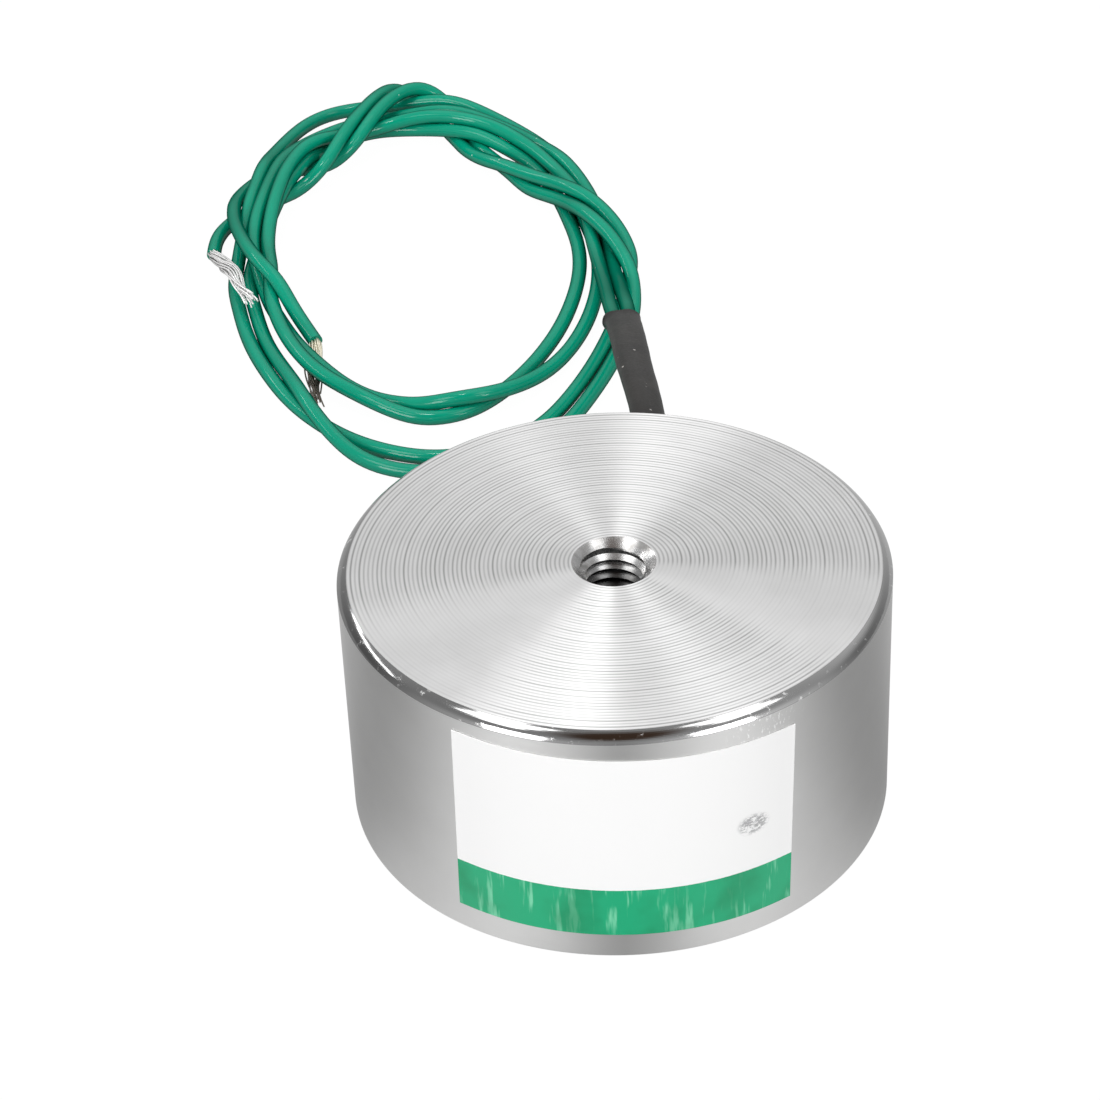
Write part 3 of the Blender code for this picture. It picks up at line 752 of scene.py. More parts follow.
class Bench:
    """Blender's modelling tools, called one after another as by hand."""

    @staticmethod
    def clear() -> None:
        """Leave edit mode and select nothing."""
        if bpy.context.object and bpy.context.object.mode != "OBJECT":
            bpy.ops.object.mode_set(mode="OBJECT")
        bpy.ops.object.select_all(action="DESELECT")

    @staticmethod
    def take(*objects: bpy.types.Object) -> None:
        """Select these objects alone, with the first as the active one."""
        Bench.clear()
        for obj in objects:
            obj.select_set(True)
        bpy.context.view_layer.objects.active = objects[0]

    @staticmethod
    def edit(obj: bpy.types.Object, kind: str = "VERT", action: str = "SELECT") -> None:
        """Open a piece in edit mode.

        Args:
            obj: The piece.
            kind: VERT, EDGE or FACE, what can be selected.
            action: SELECT for all of it, or DESELECT for nothing.
        """
        Bench.take(obj)
        bpy.ops.object.mode_set(mode="EDIT")
        bpy.ops.mesh.select_mode(type=kind)
        bpy.ops.mesh.select_all(action=action)

    @staticmethod
    def pick_faces(obj: bpy.types.Object, test: Callable[[Vector, Vector], bool]) -> None:
        """Select the faces that pass a test, and leave the piece in edit mode.

        Args:
            obj: The piece.
            test: Gets a face's centre and normal.
        """
        Bench.edit(obj, "FACE", "DESELECT")
        bpy.ops.object.mode_set(mode="OBJECT")
        for face in obj.data.polygons:
            face.select = test(face.center, face.normal)
        bpy.ops.object.mode_set(mode="EDIT")

    @staticmethod
    def apply(obj: bpy.types.Object, kind: str, **settings: object) -> None:
        """Add a modifier, set it and apply it.

        Args:
            obj: The piece.
            kind: The modifier's type.
            settings: Its properties.
        """
        Bench.take(obj)
        modifier = obj.modifiers.new(kind.lower(), kind)
        for key, value in settings.items():
            setattr(modifier, key, value)
        bpy.ops.object.modifier_apply(modifier=modifier.name)

    @staticmethod
    def smooth(obj: bpy.types.Object, sharp: float) -> None:
        """Shade a piece smooth, but for edges over this angle in degrees."""
        Bench.take(obj)
        bpy.ops.object.shade_smooth_by_angle(angle=math.radians(sharp))

    @staticmethod
    def finish(obj: bpy.types.Object, name: str, sharp: float, merge: float = 1e-6) -> bpy.types.Object:
        """Put a piece's place into its mesh, turn its faces outwards, shade it and name it.

        Args:
            obj: The piece.
            name: Its name.
            sharp: The angle over which an edge stays sharp, in degrees.
            merge: The distance under which points are joined.

        Returns:
            The piece.
        """
        Bench.take(obj)
        bpy.ops.object.transform_apply(location=True, rotation=True, scale=True)
        Bench.edit(obj)
        bpy.ops.mesh.remove_doubles(threshold=merge)
        bpy.ops.mesh.normals_make_consistent(inside=False)
        Bench.smooth(obj, sharp)
        obj.name = name
        obj.data.name = name
        return obj

    @staticmethod
    def turn(profile: Sequence[Pair], sides: int, closed: bool = False) -> bpy.types.Object:
        """Model a turned shape from a circle, by extruding and scaling it from station to station.

        Args:
            profile: Radius and height of each station. A radius of 0 is a pole.
            sides: How many sides the circle has.
            closed: Whether the last station joins the first.

        Returns:
            The new object, still without its final name.
        """
        Bench.clear()
        stations = list(profile) + ([profile[0]] if closed else [])
        poles = [index for index, station in enumerate(stations) if station[0] == 0.0]
        stations = [(max(radius, 1e-6), height) for radius, height in stations]
        radius, height = stations[0]
        bpy.ops.mesh.primitive_circle_add(vertices=sides, radius=radius, location=(0.0, 0.0, height))
        obj = bpy.context.object
        bpy.ops.object.transform_apply(location=True, rotation=True, scale=True)
        Bench.edit(obj, "EDGE")
        for next_radius, next_height in stations[1:]:
            bpy.ops.mesh.extrude_edges_move(TRANSFORM_OT_translate={"value": (0.0, 0.0, next_height - height)})
            size = next_radius / radius
            bpy.ops.transform.resize(value=(size, size, 1.0), center_override=(0.0, 0.0, next_height))
            radius, height = next_radius, next_height
        bpy.ops.object.mode_set(mode="OBJECT")
        for index in poles:
            for vertex in obj.data.vertices[index * sides : (index + 1) * sides]:
                vertex.co = (0.0, 0.0, stations[index][1])
        return obj

    @staticmethod
    def draw_wires(lines: Sequence[np.ndarray], diameter: float, resolution: int) -> bpy.types.Object:
        """Draw a round, capped wire along each line, all in one mesh.

        Args:
            lines: The points of each wire.
            diameter: How thick the wires are.
            resolution: How finely they are rounded.

        Returns:
            The wires.
        """
        curve = bpy.data.curves.new("wires", "CURVE")
        curve.dimensions = "3D"
        curve.bevel_depth = diameter / 2
        curve.bevel_resolution = resolution
        curve.use_fill_caps = True
        for line in lines:
            spline = curve.splines.new("POLY")
            spline.points.add(len(line) - 1)
            spline.points.foreach_set("co", np.hstack([line, np.ones((len(line), 1))]).ravel())
        wires = bpy.data.objects.new("wires", curve)
        bpy.context.collection.objects.link(wires)
        Bench.take(wires)
        bpy.ops.object.convert(target="MESH")
        return bpy.context.object


def arc(centre: Pair, radius: float, start: float, end: float, steps: int) -> list[Pair]:
    """Stations along an arc of a turned profile.

    Args:
        centre: Its centre, as radius and height.
        radius: Its own radius.
        start: The first angle, in degrees from outwards towards up.
        end: The last angle.
        steps: How many steps it takes.

    Returns:
        The stations.
    """
    angles = (math.radians(start + (end - start) * step / steps) for step in range(steps + 1))
    return [(centre[0] + radius * math.cos(angle), centre[1] + radius * math.sin(angle)) for angle in angles]


def polar(radius: float, azimuth: float, height: float) -> Vector:
    """The point at this radius, azimuth and height."""
    angle = math.radians(azimuth)
    return Vector((radius * math.sin(angle), radius * math.cos(angle), height))


def show(obj: bpy.types.Object, finishes: Sequence[bpy.types.Material], slot: str, *nodes: str) -> None:
    """Give a piece its materials and let it stand for the solids that it replaces.

    Args:
        obj: The piece.
        finishes: Its materials, in order.
        slot: The record's material slot; not used.
        nodes: The nodes that it replaces.
    """
    for finish in finishes:
        obj.data.materials.append(finish)
    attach(obj, "root")
    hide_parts(*nodes)
    LOG.info("%s: %d faces", obj.name, len(obj.data.polygons))


# ---- Housing


@dataclass
class Housing:
    """The turned steel cup with its core, tapped hole and lead hole."""

    radius: float = 20.0 * MM
    height: float = 20.0 * MM
    wall: float = 3.0 * MM
    ceiling: float = 15.0 * MM
    core_radius: float = 9.5 * MM
    rim: float = 0.72 * MM
    rim_roundness: float = 0.35
    face_edge: float = 0.3 * MM
    cavity_fillet: float = 0.8 * MM
    cavity_bevel: float = 0.1 * MM
    drill_point: float = 31.0
    thread_radius: float = 2.5 * MM
    crest_radius: float = 2.1 * MM
    thread_pitch: float = 0.8 * MM
    thread_depth: float = 8.0 * MM
    thread_steps: int = 96
    run_out: float = 2.0 * MM
    countersink_radius: float = 3.05 * MM
    exit_azimuth: float = 8.0
    exit_height: float = 12.5 * MM
    exit_radius: float = 2.05 * MM
    sides: int = 256

    def cone_radius(self, height: float) -> float:
        """The countersink's radius at a height."""
        return self.countersink_radius - (self.height - height)

    def eased_rim(self) -> list[Pair]:
        """The rim's chamfer with eased ends: an arc that is flattened towards its chord.

        Returns:
            Its stations.
        """
        points = [Vector(point) for point in arc((self.radius - self.rim, self.height - self.rim), self.rim, 90, 0, 8)]
        start, end = points[0], points[-1]
        chord = [start.lerp(end, (point - start).length / (end - start).length) for point in points]
        return [tuple(flat.lerp(point, self.rim_roundness)) for flat, point in zip(chord, points)]

    def profile(self) -> list[Pair]:
        """The turned section, from the drill's point over the top face and round to the core's face.

        Returns:
            Its stations.
        """
        thread_end = self.height - self.thread_depth
        hole_bottom = thread_end - self.run_out
        cavity = self.radius - self.wall
        fillet, bevel = self.cavity_fillet, self.cavity_bevel
        return [
            (0.0, hole_bottom - self.crest_radius * math.tan(math.radians(self.drill_point))),
            (self.crest_radius, hole_bottom),
            (self.crest_radius, thread_end),
            (self.thread_radius, thread_end + 0.4 * MM),
            (self.thread_radius, self.height - (self.countersink_radius - self.thread_radius)),
            (self.countersink_radius - 0.03 * MM, self.height - 0.03 * MM),
            (self.countersink_radius + 0.02 * MM, self.height),
            (6.0 * MM, self.height),
            (12.0 * MM, self.height),
            (self.radius - self.rim - 0.02 * MM, self.height),
            *self.eased_rim(),
            (self.radius, self.height - self.rim - 0.05 * MM),
            (self.radius, 0.5 * self.height),
            *arc((self.radius - self.face_edge, self.face_edge), self.face_edge, 0, -90, 5),
            (cavity + bevel, 0.0),
            (cavity, bevel),
            *arc((cavity - fillet, self.ceiling - fillet), fillet, 0, 90, 6),
            (self.core_radius, self.ceiling),
            (self.core_radius, bevel),
            (self.core_radius - bevel, 0.0),
            (4.0 * MM, 0.0),
            (0.0, 0.0),
        ]

    def thread(self) -> bpy.types.Object:
        """Model the thread's ridge: a triangle wound up the hole and trimmed by the countersink.

        Returns:
            The ridge, for joining to the housing.
        """
        Bench.clear()
        bpy.ops.mesh.primitive_circle_add(vertices=3, radius=1.0)
        ridge = bpy.context.object
        base, half = self.thread_radius + 0.06 * MM, 0.44 * self.thread_pitch
        corners = ((self.crest_radius, 0.0), (base, half), (base, -half))
        for vertex, (radius, lift) in zip(ridge.data.vertices, corners):
            vertex.co = (radius, 0.0, self.height - self.thread_depth + lift)
        Bench.apply(
            ridge,
            "SCREW",
            axis="Z",
            screw_offset=self.thread_pitch,
            iterations=math.ceil(self.thread_depth / self.thread_pitch) + 1,
            steps=self.thread_steps,
            render_steps=self.thread_steps,
            use_merge_vertices=True,
            merge_threshold=1e-6,
        )
        top = self.height - 0.1 * MM
        for vertex in ridge.data.vertices:
            reach = math.hypot(vertex.co.x, vertex.co.y)
            wanted, height = max(reach, self.cone_radius(vertex.co.z) + 0.01 * MM), vertex.co.z
            if height > top:
                wanted, height = self.countersink_radius + 0.2 * MM, top - 0.3 * MM
            vertex.co = (vertex.co.x * wanted / reach, vertex.co.y * wanted / reach, height)
        return Bench.finish(ridge, "thread_ridge", 40.0)

    def bore_lead_hole(self, body: bpy.types.Object) -> None:
        """Drill the lead hole through the rear wall.

        Args:
            body: The turned housing.
        """
        Bench.clear()
        bpy.ops.mesh.primitive_cylinder_add(
            vertices=64,
            radius=self.exit_radius,
            depth=2.0 * self.wall,
            location=polar(self.radius - self.wall / 2, self.exit_azimuth, self.exit_height),
            rotation=polar(1.0, self.exit_azimuth, 0.0).to_track_quat("Z", "Y").to_euler(),
        )
        drill = bpy.context.object
        Bench.pick_faces(drill, lambda centre, normal: abs(normal.z) > 0.9 and centre.z > 0)
        bpy.ops.mesh.inset(thickness=0.2 * MM)
        Bench.apply(body, "BOOLEAN", operation="DIFFERENCE", solver="EXACT", object=drill)
        bpy.data.objects.remove(drill, do_unlink=True)

    def zone(self, centre: Vector, normal: Vector) -> Zone:
        """Which finish a face of the housing has.

        Args:
            centre: The face's centre.
            normal: The face's normal.

        Returns:
            Its zone.
        """
        reach = math.hypot(centre.x, centre.y)
        if reach < self.countersink_radius and centre.z > 0.2 * self.height:
            return Zone.BORE
        if reach > self.radius - self.rim and centre.z > self.height - self.rim - 0.04 * MM and normal.z < 0.99:
            return Zone.RIM
        if centre.z > self.height - 0.01 * MM or centre.z < 0.01 * MM:
            return Zone.FACE
        if reach > self.radius - 0.5 * self.face_edge:
            return Zone.WALL
        return Zone.RIM if centre.z < self.face_edge and reach > self.radius - self.face_edge else Zone.INSIDE

    def build(self, finishes: dict[Zone, bpy.types.Material]) -> None:
        """Turn the body, cut its hole and thread, and finish each surface.

        Args:
            finishes: The material of each zone.
        """
        body = Bench.finish(Bench.turn(self.profile(), self.sides), "turned_housing", 25.0)
        self.bore_lead_hole(body)
        Bench.take(body, self.thread())
        bpy.ops.object.join()
        Bench.smooth(body, 25.0)
        show(body, [finishes[zone] for zone in Zone], "plated_steel", "pot_housing")
        for face in body.data.polygons:
            face.material_index = self.zone(face.center, face.normal).value


@dataclass
class Potting:
    """The cast resin between core and wall, a hair below the steel."""

    inner: float = 9.48 * MM
    outer: float = 17.02 * MM
    top: float = 1.5 * MM
    sink: float = 0.05 * MM
    stations: int = 14
    sides: int = 192

    def build(self, finish: bpy.types.Material) -> None:
        """Turn the ring with a slight hollow in its face.

        Args:
            finish: Its material.
        """
        section = [(self.outer, self.top), (self.inner, self.top)]
        for step in range(self.stations + 1):
            share = step / self.stations
            hollow = self.sink * math.sin(math.pi * share) ** 0.6 + 0.02 * MM
            section.append((self.inner + (self.outer - self.inner) * share, hollow))
        ring = Bench.finish(Bench.turn(section, self.sides, closed=True), "potting", 40.0)
        show(ring, (finish,), "cast_resin", "resin_ring")


# ---- Label


@dataclass
class Label:
    """The film on the side wall, a little crooked as it was stuck on.

    Each corner is its angle from -Y towards +X, in degrees, and its height.
    """

    radius: float = 20.02 * MM
    lower_left: Pair = (-35.45, 2.34 * MM)
    lower_right: Pair = (35.9, 2.01 * MM)
    upper_left: Pair = (-34.76, 18.2 * MM)
    upper_right: Pair = (36.9, 17.5 * MM)
    thickness: float = 0.06 * MM
    crease: float = 0.018 * MM
    lifted_edge: float = 0.03 * MM
    columns: int = 150
    rows: int = 60

    @property
    def width(self) -> float:
        """The film's width, measured round the wall."""
        return math.radians(self.upper_right[0] - self.upper_left[0]) * self.radius

    @property
    def height(self) -> float:
        """The film's height."""
        return self.upper_left[1] - self.lower_left[1]

    def wrap(self, along: float, up: float) -> Vector:
        """Where a point of the flat film lies on the wall.

        Args:
            along: Distance from the film's middle, towards +X.
            up: Distance from its lower edge.

        Returns:
            The point.
        """
        share, across = up / self.height, 0.5 + along / self.width
        crease = self.crease * math.sin(along / (0.9 * MM) + 3.0 * math.sin(along / (3.7 * MM)))
        puckered = math.exp(-((share - 0.12) ** 2) / 0.03) * (0.4 + 0.6 * math.sin(along / (5.0 * MM)) ** 2)
        edge = max(0.0, 1.0 - (self.width / 2 - abs(along)) / (0.8 * MM))
        radius = self.radius + abs(crease) * puckered + self.lifted_edge * edge**2
        corners = zip(self.lower_left, self.lower_right, self.upper_left, self.upper_right)
        angle, height = (
            (a * (1 - across) + b * across) * (1 - share) + (c * (1 - across) + d * across) * share
            for a, b, c, d in corners
        )
        return polar(radius, 180.0 - angle, height)

    def build(self, finish: bpy.types.Material) -> None:
        """Cut the flat film, wrap it round the wall and give it its thickness.

        Args:
            finish: Its material.
        """
        Bench.clear()
        bpy.ops.mesh.primitive_grid_add(x_subdivisions=self.columns, y_subdivisions=self.rows, size=1.0)
        film = bpy.context.object
        Bench.edit(film)
        bpy.ops.transform.resize(value=(self.width, self.height, 1.0), center_override=(0.0, 0.0, 0.0))
        Bench.clear()
        for vertex in film.data.vertices:
            vertex.co = self.wrap(vertex.co.x, vertex.co.y + self.height / 2)
        Bench.finish(film, "label_film", 60.0)
        if film.data.polygons[0].normal.dot(film.data.polygons[0].center) < 0:
            film.data.flip_normals()
        Bench.apply(film, "SOLIDIFY", thickness=self.thickness, offset=1.0)
        Bench.smooth(film, 50.0)
        show(film, (finish,), "label_film", "label")


# ---- Cords


def spread_evenly(points: np.ndarray, spacing: float) -> np.ndarray:
    """Points this far apart on a Catmull-Rom curve through the given ones.

    Args:
        points: The route's points, one row each. Columns after the third are carried along.
        spacing: The distance between the new points.

    Returns:
        The new points.
    """
    held = np.vstack([2 * points[0] - points[1], points, 2 * points[-1] - points[-2]])
    t = np.linspace(0, 1, 24, endpoint=False)[:, None]
    fine = []
    for a, b, c, d in zip(held, held[1:], held[2:], held[3:]):
        fine.append(0.5 * (2 * b + (c - a) * t + (2 * a - 5 * b + 4 * c - d) * t**2 + (3 * b - a - 3 * c + d) * t**3))
    fine = np.vstack([*fine, points[-1:]])
    lengths = np.concatenate([[0.0], np.cumsum(np.linalg.norm(np.diff(fine[:, :3], axis=0), axis=1))])
    wanted = np.linspace(0.0, lengths[-1], max(2, round(lengths[-1] / spacing)) + 1)
    return np.stack([np.interp(wanted, lengths, column) for column in fine.T], axis=1)


def directions(line: np.ndarray) -> np.ndarray:
    """The direction of a line at each of its points."""
    steps = np.gradient(line, axis=0)
    return steps / np.linalg.norm(steps, axis=1)[:, None]


def smooth_along(values: np.ndarray, reach: float, step: float) -> np.ndarray:
    """Smooth rows of values along their order.

    Args:
        values: The rows.
        reach: The width of the smoothing bell, as a distance.
        step: The distance between rows.

    Returns:
        The smoothed rows.
    """
    count = int(np.ceil(3 * reach / step))
    bell = np.exp(-0.5 * (np.arange(-count, count + 1) * step / reach) ** 2)
    bell /= bell.sum()
    padded = np.vstack([2 * values[0] - values[count:0:-1], values, 2 * values[-1] - values[-2 : -count - 2 : -1]])
    return np.stack([np.convolve(padded[:, axis], bell, "valid") for axis in range(values.shape[1])], axis=1)


@dataclass
class CoilLay:
    """How the two leads lie in their oval coil, in millimetres.

    Every row of a table is 20 degrees further round the oval, counter-clockwise from its +X side. It gives
    how far outside the oval the lead lies, and its layer: 0 lies on the surface, and 1 lies on one other
    lead.
    """

    centre: Pair = (-17.0, 74.5)
    half_axes: Pair = (18.0, 32.0)
    layer_rise: float = 1.25
    station: float = 20.0
    diameter: float = 1.35
    step: float = 0.6
    lead_a: tuple[Pair, ...] = (
        (-0.6, 1.3), (-1.6, 1.5), (-2.6, 1.4), (-4.0, 1.7), (-4.6, 2.0), (-4.5, 1.8), (-1.7, 1.4), (-0.3, 1.6),
        (-1.2, 2.0), (-2.0, 1.1), (-4.3, 0.0), (-5.5, 0.0), (-6.9, 0.0), (-8.0, 0.0), (-6.9, 0.5), (-4.1, 1.1),
        (-2.4, 0.5), (-1.6, 0.0), (-1.6, 0.0), (-2.7, 0.0), (-1.7, 0.2), (-2.6, 0.7), (-2.4, 0.9), (-1.5, 0.8),
        (2.6, 0.4), (1.3, 0.7), (-0.4, 1.0), (-1.0, 0.3), (-1.3, 0.0), (-1.6, 0.0), (-1.5, 0.0), (-0.8, 0.0),
        (0.8, 0.0), (1.7, 0.0), (1.0, 0.0), (1.0, 0.0),
    )
    lead_b: tuple[Pair, ...] = (
        (-1.9, 1.2), (-2.4, 0.9), (-4.0, 1.1), (-6.4, 1.6), (-7.8, 1.9), (-7.4, 1.8), (-5.5, 1.4), (-2.5, 1.6),
        (-2.8, 2.0), (-3.1, 1.1), (-3.9, 1.1), (-5.0, 1.1), (-6.1, 1.0), (-6.5, 0.3), (-5.6, 0.0), (-4.7, 0.0),
        (-4.3, 0.0), (-3.7, 0.0), (-3.3, 0.0), (-4.0, 0.0), (-4.4, 0.2), (-7.1, 0.7), (-7.8, 0.9), (-7.1, 0.8),
        (-3.6, 0.4), (-2.8, 0.7), (-2.8, 1.0), (-2.4, 0.0), (-2.6, 0.0), (-2.4, 0.8), (-0.8, 1.1), (1.6, 0.4),
        (3.0, 0.0), (3.5, 0.0), (2.5, 0.0), (2.3, 0.4),
    )

    def route(self, table: Sequence[Pair]) -> np.ndarray:
        """Lay one lead by its table.

        Args:
            table: The lead's table.

        Returns:
            Its points.
        """
        points = []
        for index, (outward, layer) in enumerate(table):
            angle = math.radians(index * self.station)
            oval = Vector((self.half_axes[0] * math.cos(angle), self.half_axes[1] * math.sin(angle)))
            normal = Vector((math.cos(angle) / self.half_axes[0], math.sin(angle) / self.half_axes[1])).normalized()
            x, y = Vector(self.centre) + oval + normal * outward
            points.append((x, y, self.diameter / 2 + layer * self.layer_rise))
        return np.array(points)


@dataclass
class Settling:
    """Lets leads that were laid out push each other apart and sink until they only touch.

    The push is spread smoothly along each lead, so that a lead bends as one stiff strand. Lengths are in
    millimetres.
    """

    diameter: float
    step: float
    rounds: int = 700
    spare: float = 0.03
    push_reach: float = 2.0
    bend_reach: float = 4.5
    stiffness: float = 0.025
    gain: float = 1.5
    sink: float = 0.0015
    hold: float = 0.004
    refresh: int = 15
    loosening: float = 15.0
    end_hold: float = 5.0

    def freedom(self, count: int, held: int) -> np.ndarray:
        """How freely each point of a lead moves: not at its held start, and little at its end.

        Args:
            count: How many points the lead has.
            held: How many at its start don't move.

        Returns:
            The freedom of each point, from 0 to 1.
        """
        free = np.ones(count)
        start, end = int(self.loosening / self.step), int(self.end_hold / self.step)
        free[:held] = 0.0
        free[held : held + start] = np.linspace(0, 1, start) ** 2
        free[count - end :] = np.linspace(1, 0.2, end)
        return free

    def run(
        self, leads: Sequence[np.ndarray], held: Sequence[int], floor: Callable[[np.ndarray], np.ndarray]
    ) -> list[np.ndarray]:
        """Settle the leads.

        Args:
            leads: The points of each lead.
            held: How many points at each lead's start don't move.
            floor: Gives the height that a lead's centre can't go below, for each point.

        Returns:
            The settled points of each lead.
        """
        counts = [len(lead) for lead in leads]
        starts = np.cumsum([0, *counts])
        laid = np.vstack(leads)
        shift = np.zeros_like(laid)
        which = np.repeat(np.arange(len(leads)), counts)
        order = np.concatenate([np.arange(count) for count in counts])
        free = np.concatenate([self.freedom(count, fixed) for count, fixed in zip(counts, held)])[:, None]
        lowest = floor(laid)
        skip = int(np.ceil(3 * self.diameter / self.step))
        own = (which[:, None] == which[None]) & (np.abs(order[:, None] - order[None]) < skip)
        target = self.diameter + self.spare
        one = other = np.zeros(0, int)
        for turn in range(self.rounds):
            now = laid + shift
            if turn % self.refresh == 0:
                apart = ((now[:, None] - now[None]) ** 2).sum(-1)
                one, other = np.nonzero(np.triu((apart < (target + 1.0) ** 2) & ~own, 1))
            away = now[one] - now[other]
            gap = np.linalg.norm(away, axis=1)
            close = gap < target
            half = ((target - gap[close]) / 2 / np.maximum(gap[close], 1e-6))[:, None] * away[close]
            push = np.zeros_like(now)
            touches = np.zeros(len(now))
            for points, part in ((one[close], half), (other[close], -half)):
                np.add.at(push, points, part)
                np.add.at(touches, points, 1)
            push /= np.maximum(touches, 1)[:, None]
            push[:, 2] += np.maximum(lowest - now[:, 2], 0)
            push[:, 2] -= np.where(now[:, 2] > lowest + 0.02, self.sink, 0)
            for first, last in zip(starts[:-1], starts[1:]):
                part = slice(first, last)
                shift[part] += self.gain * smooth_along(push[part], self.push_reach, self.step) * free[part]
                bent = shift[part] - smooth_along(shift[part], self.bend_reach, self.step)
                shift[part] -= self.stiffness * bent * free[part]
            shift[:, :2] *= 1 - self.hold
        now = laid + shift
        now[:, 2] = np.maximum(now[:, 2], lowest)
        return [now[first:last] for first, last in zip(starts[:-1], starts[1:])]


@dataclass
class Leads:
    """Both leads, from their splices in the housing, through the sleeve and the coil, to their bare ends.

    The routes, the easing behind the sleeve and the lift over the strands are in millimetres. The settled
    paths are in metres.
    """

    housing: Housing
    lay: CoilLay = field(default_factory=CoilLay)
    diameter: float = 1.35 * MM
    pitch: float = 1.38 * MM
    splice_radius: float = 15.6 * MM
    splice_angle: float = 27.0
    bend: float = 2.6 * MM
    length: float = 450.0 * MM
    sleeve_tail: float = 1.5 * MM
    skin: float = 0.27 * MM
    strip_depth: float = 0.5 * MM
    sleeve_route: tuple[Point, ...] = (
        (3.15, 24.2, 12.45), (3.2, 28.0, 12.3), (3.0, 32.0, 11.9), (2.6, 36.7, 11.1), (2.15, 41.9, 9.95),
        (1.8, 48.0, 8.4), (1.4, 54.1, 6.5),
    )
    sleeve_twist: tuple[float, ...] = (0.0, 0.0, 14.0, 30.0, 31.0, 25.0, 15.0, 6.0, 0.0)
    run_a: tuple[Point, ...] = (
        (1.95, 55.9, 6.0), (1.8, 58.5, 5.4), (1.5, 61.8, 4.7), (1.2, 65.4, 3.9), (0.9, 69.0, 3.2),
    )
    run_b: tuple[Point, ...] = (
        (0.6, 55.9, 6.0), (0.35, 58.5, 5.4), (0.1, 61.8, 4.7), (-0.1, 65.4, 3.9), (-0.4, 69.0, 3.1),
    )
    end_a: tuple[Point, ...] = (
        (2.6, 72.3, 2.3), (2.3, 73.9, 2.7), (1.7, 75.9, 3.2), (0.9, 77.8, 3.5), (-0.2, 79.7, 3.8),
        (-1.4, 81.5, 3.8), (-2.8, 83.0, 3.7), (-4.4, 85.3, 3.0), (-7.0, 88.5, 2.0), (-9.8, 91.7, 1.4),
        (-11.9, 94.5, 0.9), (-13.7, 97.4, 0.7), (-15.0, 99.8, 0.7), (-16.5, 102.8, 0.7), (-17.9, 105.8, 0.9),
        (-19.2, 106.9, 1.8), (-20.4, 106.7, 2.8), (-21.5, 105.0, 3.4), (-22.6, 102.4, 3.9), (-23.8, 99.3, 4.0),
        (-25.5, 94.5, 3.8), (-26.6, 91.4, 3.2), (-27.9, 90.3, 2.0), (-29.4, 89.5, 1.1), (-30.8, 88.0, 0.7),
        (-32.6, 86.5, 0.7), (-34.3, 84.9, 0.7), (-35.6, 83.2, 0.8), (-35.7, 83.2, 0.7), (-36.5, 81.6, 0.7),
        (-36.9, 79.5, 0.7), (-36.8, 77.3, 0.8),
    )
    end_b: tuple[Point, ...] = (
        (2.4, 68.3, 2.9), (2.0, 70.1, 3.3), (1.4, 72.1, 3.5), (0.7, 74.1, 3.8), (-0.3, 76.2, 3.8),
        (-1.6, 78.6, 3.5), (-2.8, 81.0, 3.0), (-4.4, 84.1, 2.2), (-7.0, 87.3, 1.3), (-8.7, 90.1, 0.8),
        (-10.5, 93.1, 0.7), (-12.3, 96.4, 0.7), (-13.7, 100.3, 0.7), (-14.8, 104.0, 0.8), (-15.9, 105.3, 1.7),
        (-17.1, 105.3, 2.7), (-18.4, 104.8, 3.3), (-19.5, 103.9, 3.7), (-20.7, 102.3, 3.9), (-21.9, 99.8, 4.0),
        (-23.9, 95.3, 3.4), (-25.2, 94.2, 2.4), (-26.6, 93.8, 1.4), (-28.5, 93.8, 0.8), (-30.4, 93.4, 0.7),
        (-32.0, 92.5, 0.7), (-33.6, 91.6, 0.7), (-34.3, 89.8, 1.1), (-35.0, 87.4, 1.6), (-35.3, 84.6, 2.2),
        (-35.1, 81.5, 2.8), (-34.6, 78.6, 3.3), (-33.9, 75.8, 3.7), (-33.1, 73.2, 3.9), (-32.2, 71.1, 3.9),
        (-31.4, 69.5, 3.6), (-30.5, 68.4, 3.0), (-29.5, 66.7, 2.3), (-28.4, 65.0, 1.6), (-27.3, 63.3, 1.0),
        (-26.3, 61.2, 0.8),
    )
    loose_behind: float = 57.0
    eased_points: int = 8
    easing: float = 1.6
    lifted_at: Pair = (-26.3, 56.5)
    lift: float = 0.42
    lift_reach: float = 3.5
    paths: dict[Lead, np.ndarray] = field(default_factory=dict)

    def centre_line(self) -> list[Vector]:
        """The line of the sleeve, from inside the lead hole to its mouth."""
        hole = self.housing
        ends = [polar(hole.radius - depth, hole.exit_azimuth, hole.exit_height) for depth in (self.sleeve_tail, 0.0)]
        return [*ends, *(Vector(point) * MM for point in self.sleeve_route)]

    def inside(self, lead: Lead) -> list[Vector]:
        """One lead's line from its splice to the lead hole.

        Args:
            lead: Which lead.

        Returns:
            Its points, in metres.
        """
        hole, side = self.housing, lead.value
        across = self.pitch / 2 + self.bend
        turn_in = math.degrees(math.asin(across / self.splice_radius))
        outward = polar(1.0, hole.exit_azimuth, 0.0)
        level = Vector((outward.y, -outward.x, 0.0))
        points = []
        for step in range(5):
            angle = self.splice_angle + (turn_in - self.splice_angle) * step / 4
            points.append(polar(self.splice_radius, hole.exit_azimuth + side * angle, hole.exit_height))
        along = self.splice_radius * math.cos(math.radians(turn_in)) + self.bend
        for angle in (30.0, 60.0, 90.0):
            turn = math.radians(angle)
            sideways = across - self.bend * math.sin(turn)
            forward = along - self.bend * math.cos(turn)
            points.append(outward * forward + level * side * sideways + Vector((0.0, 0.0, hole.exit_height)))
        return points

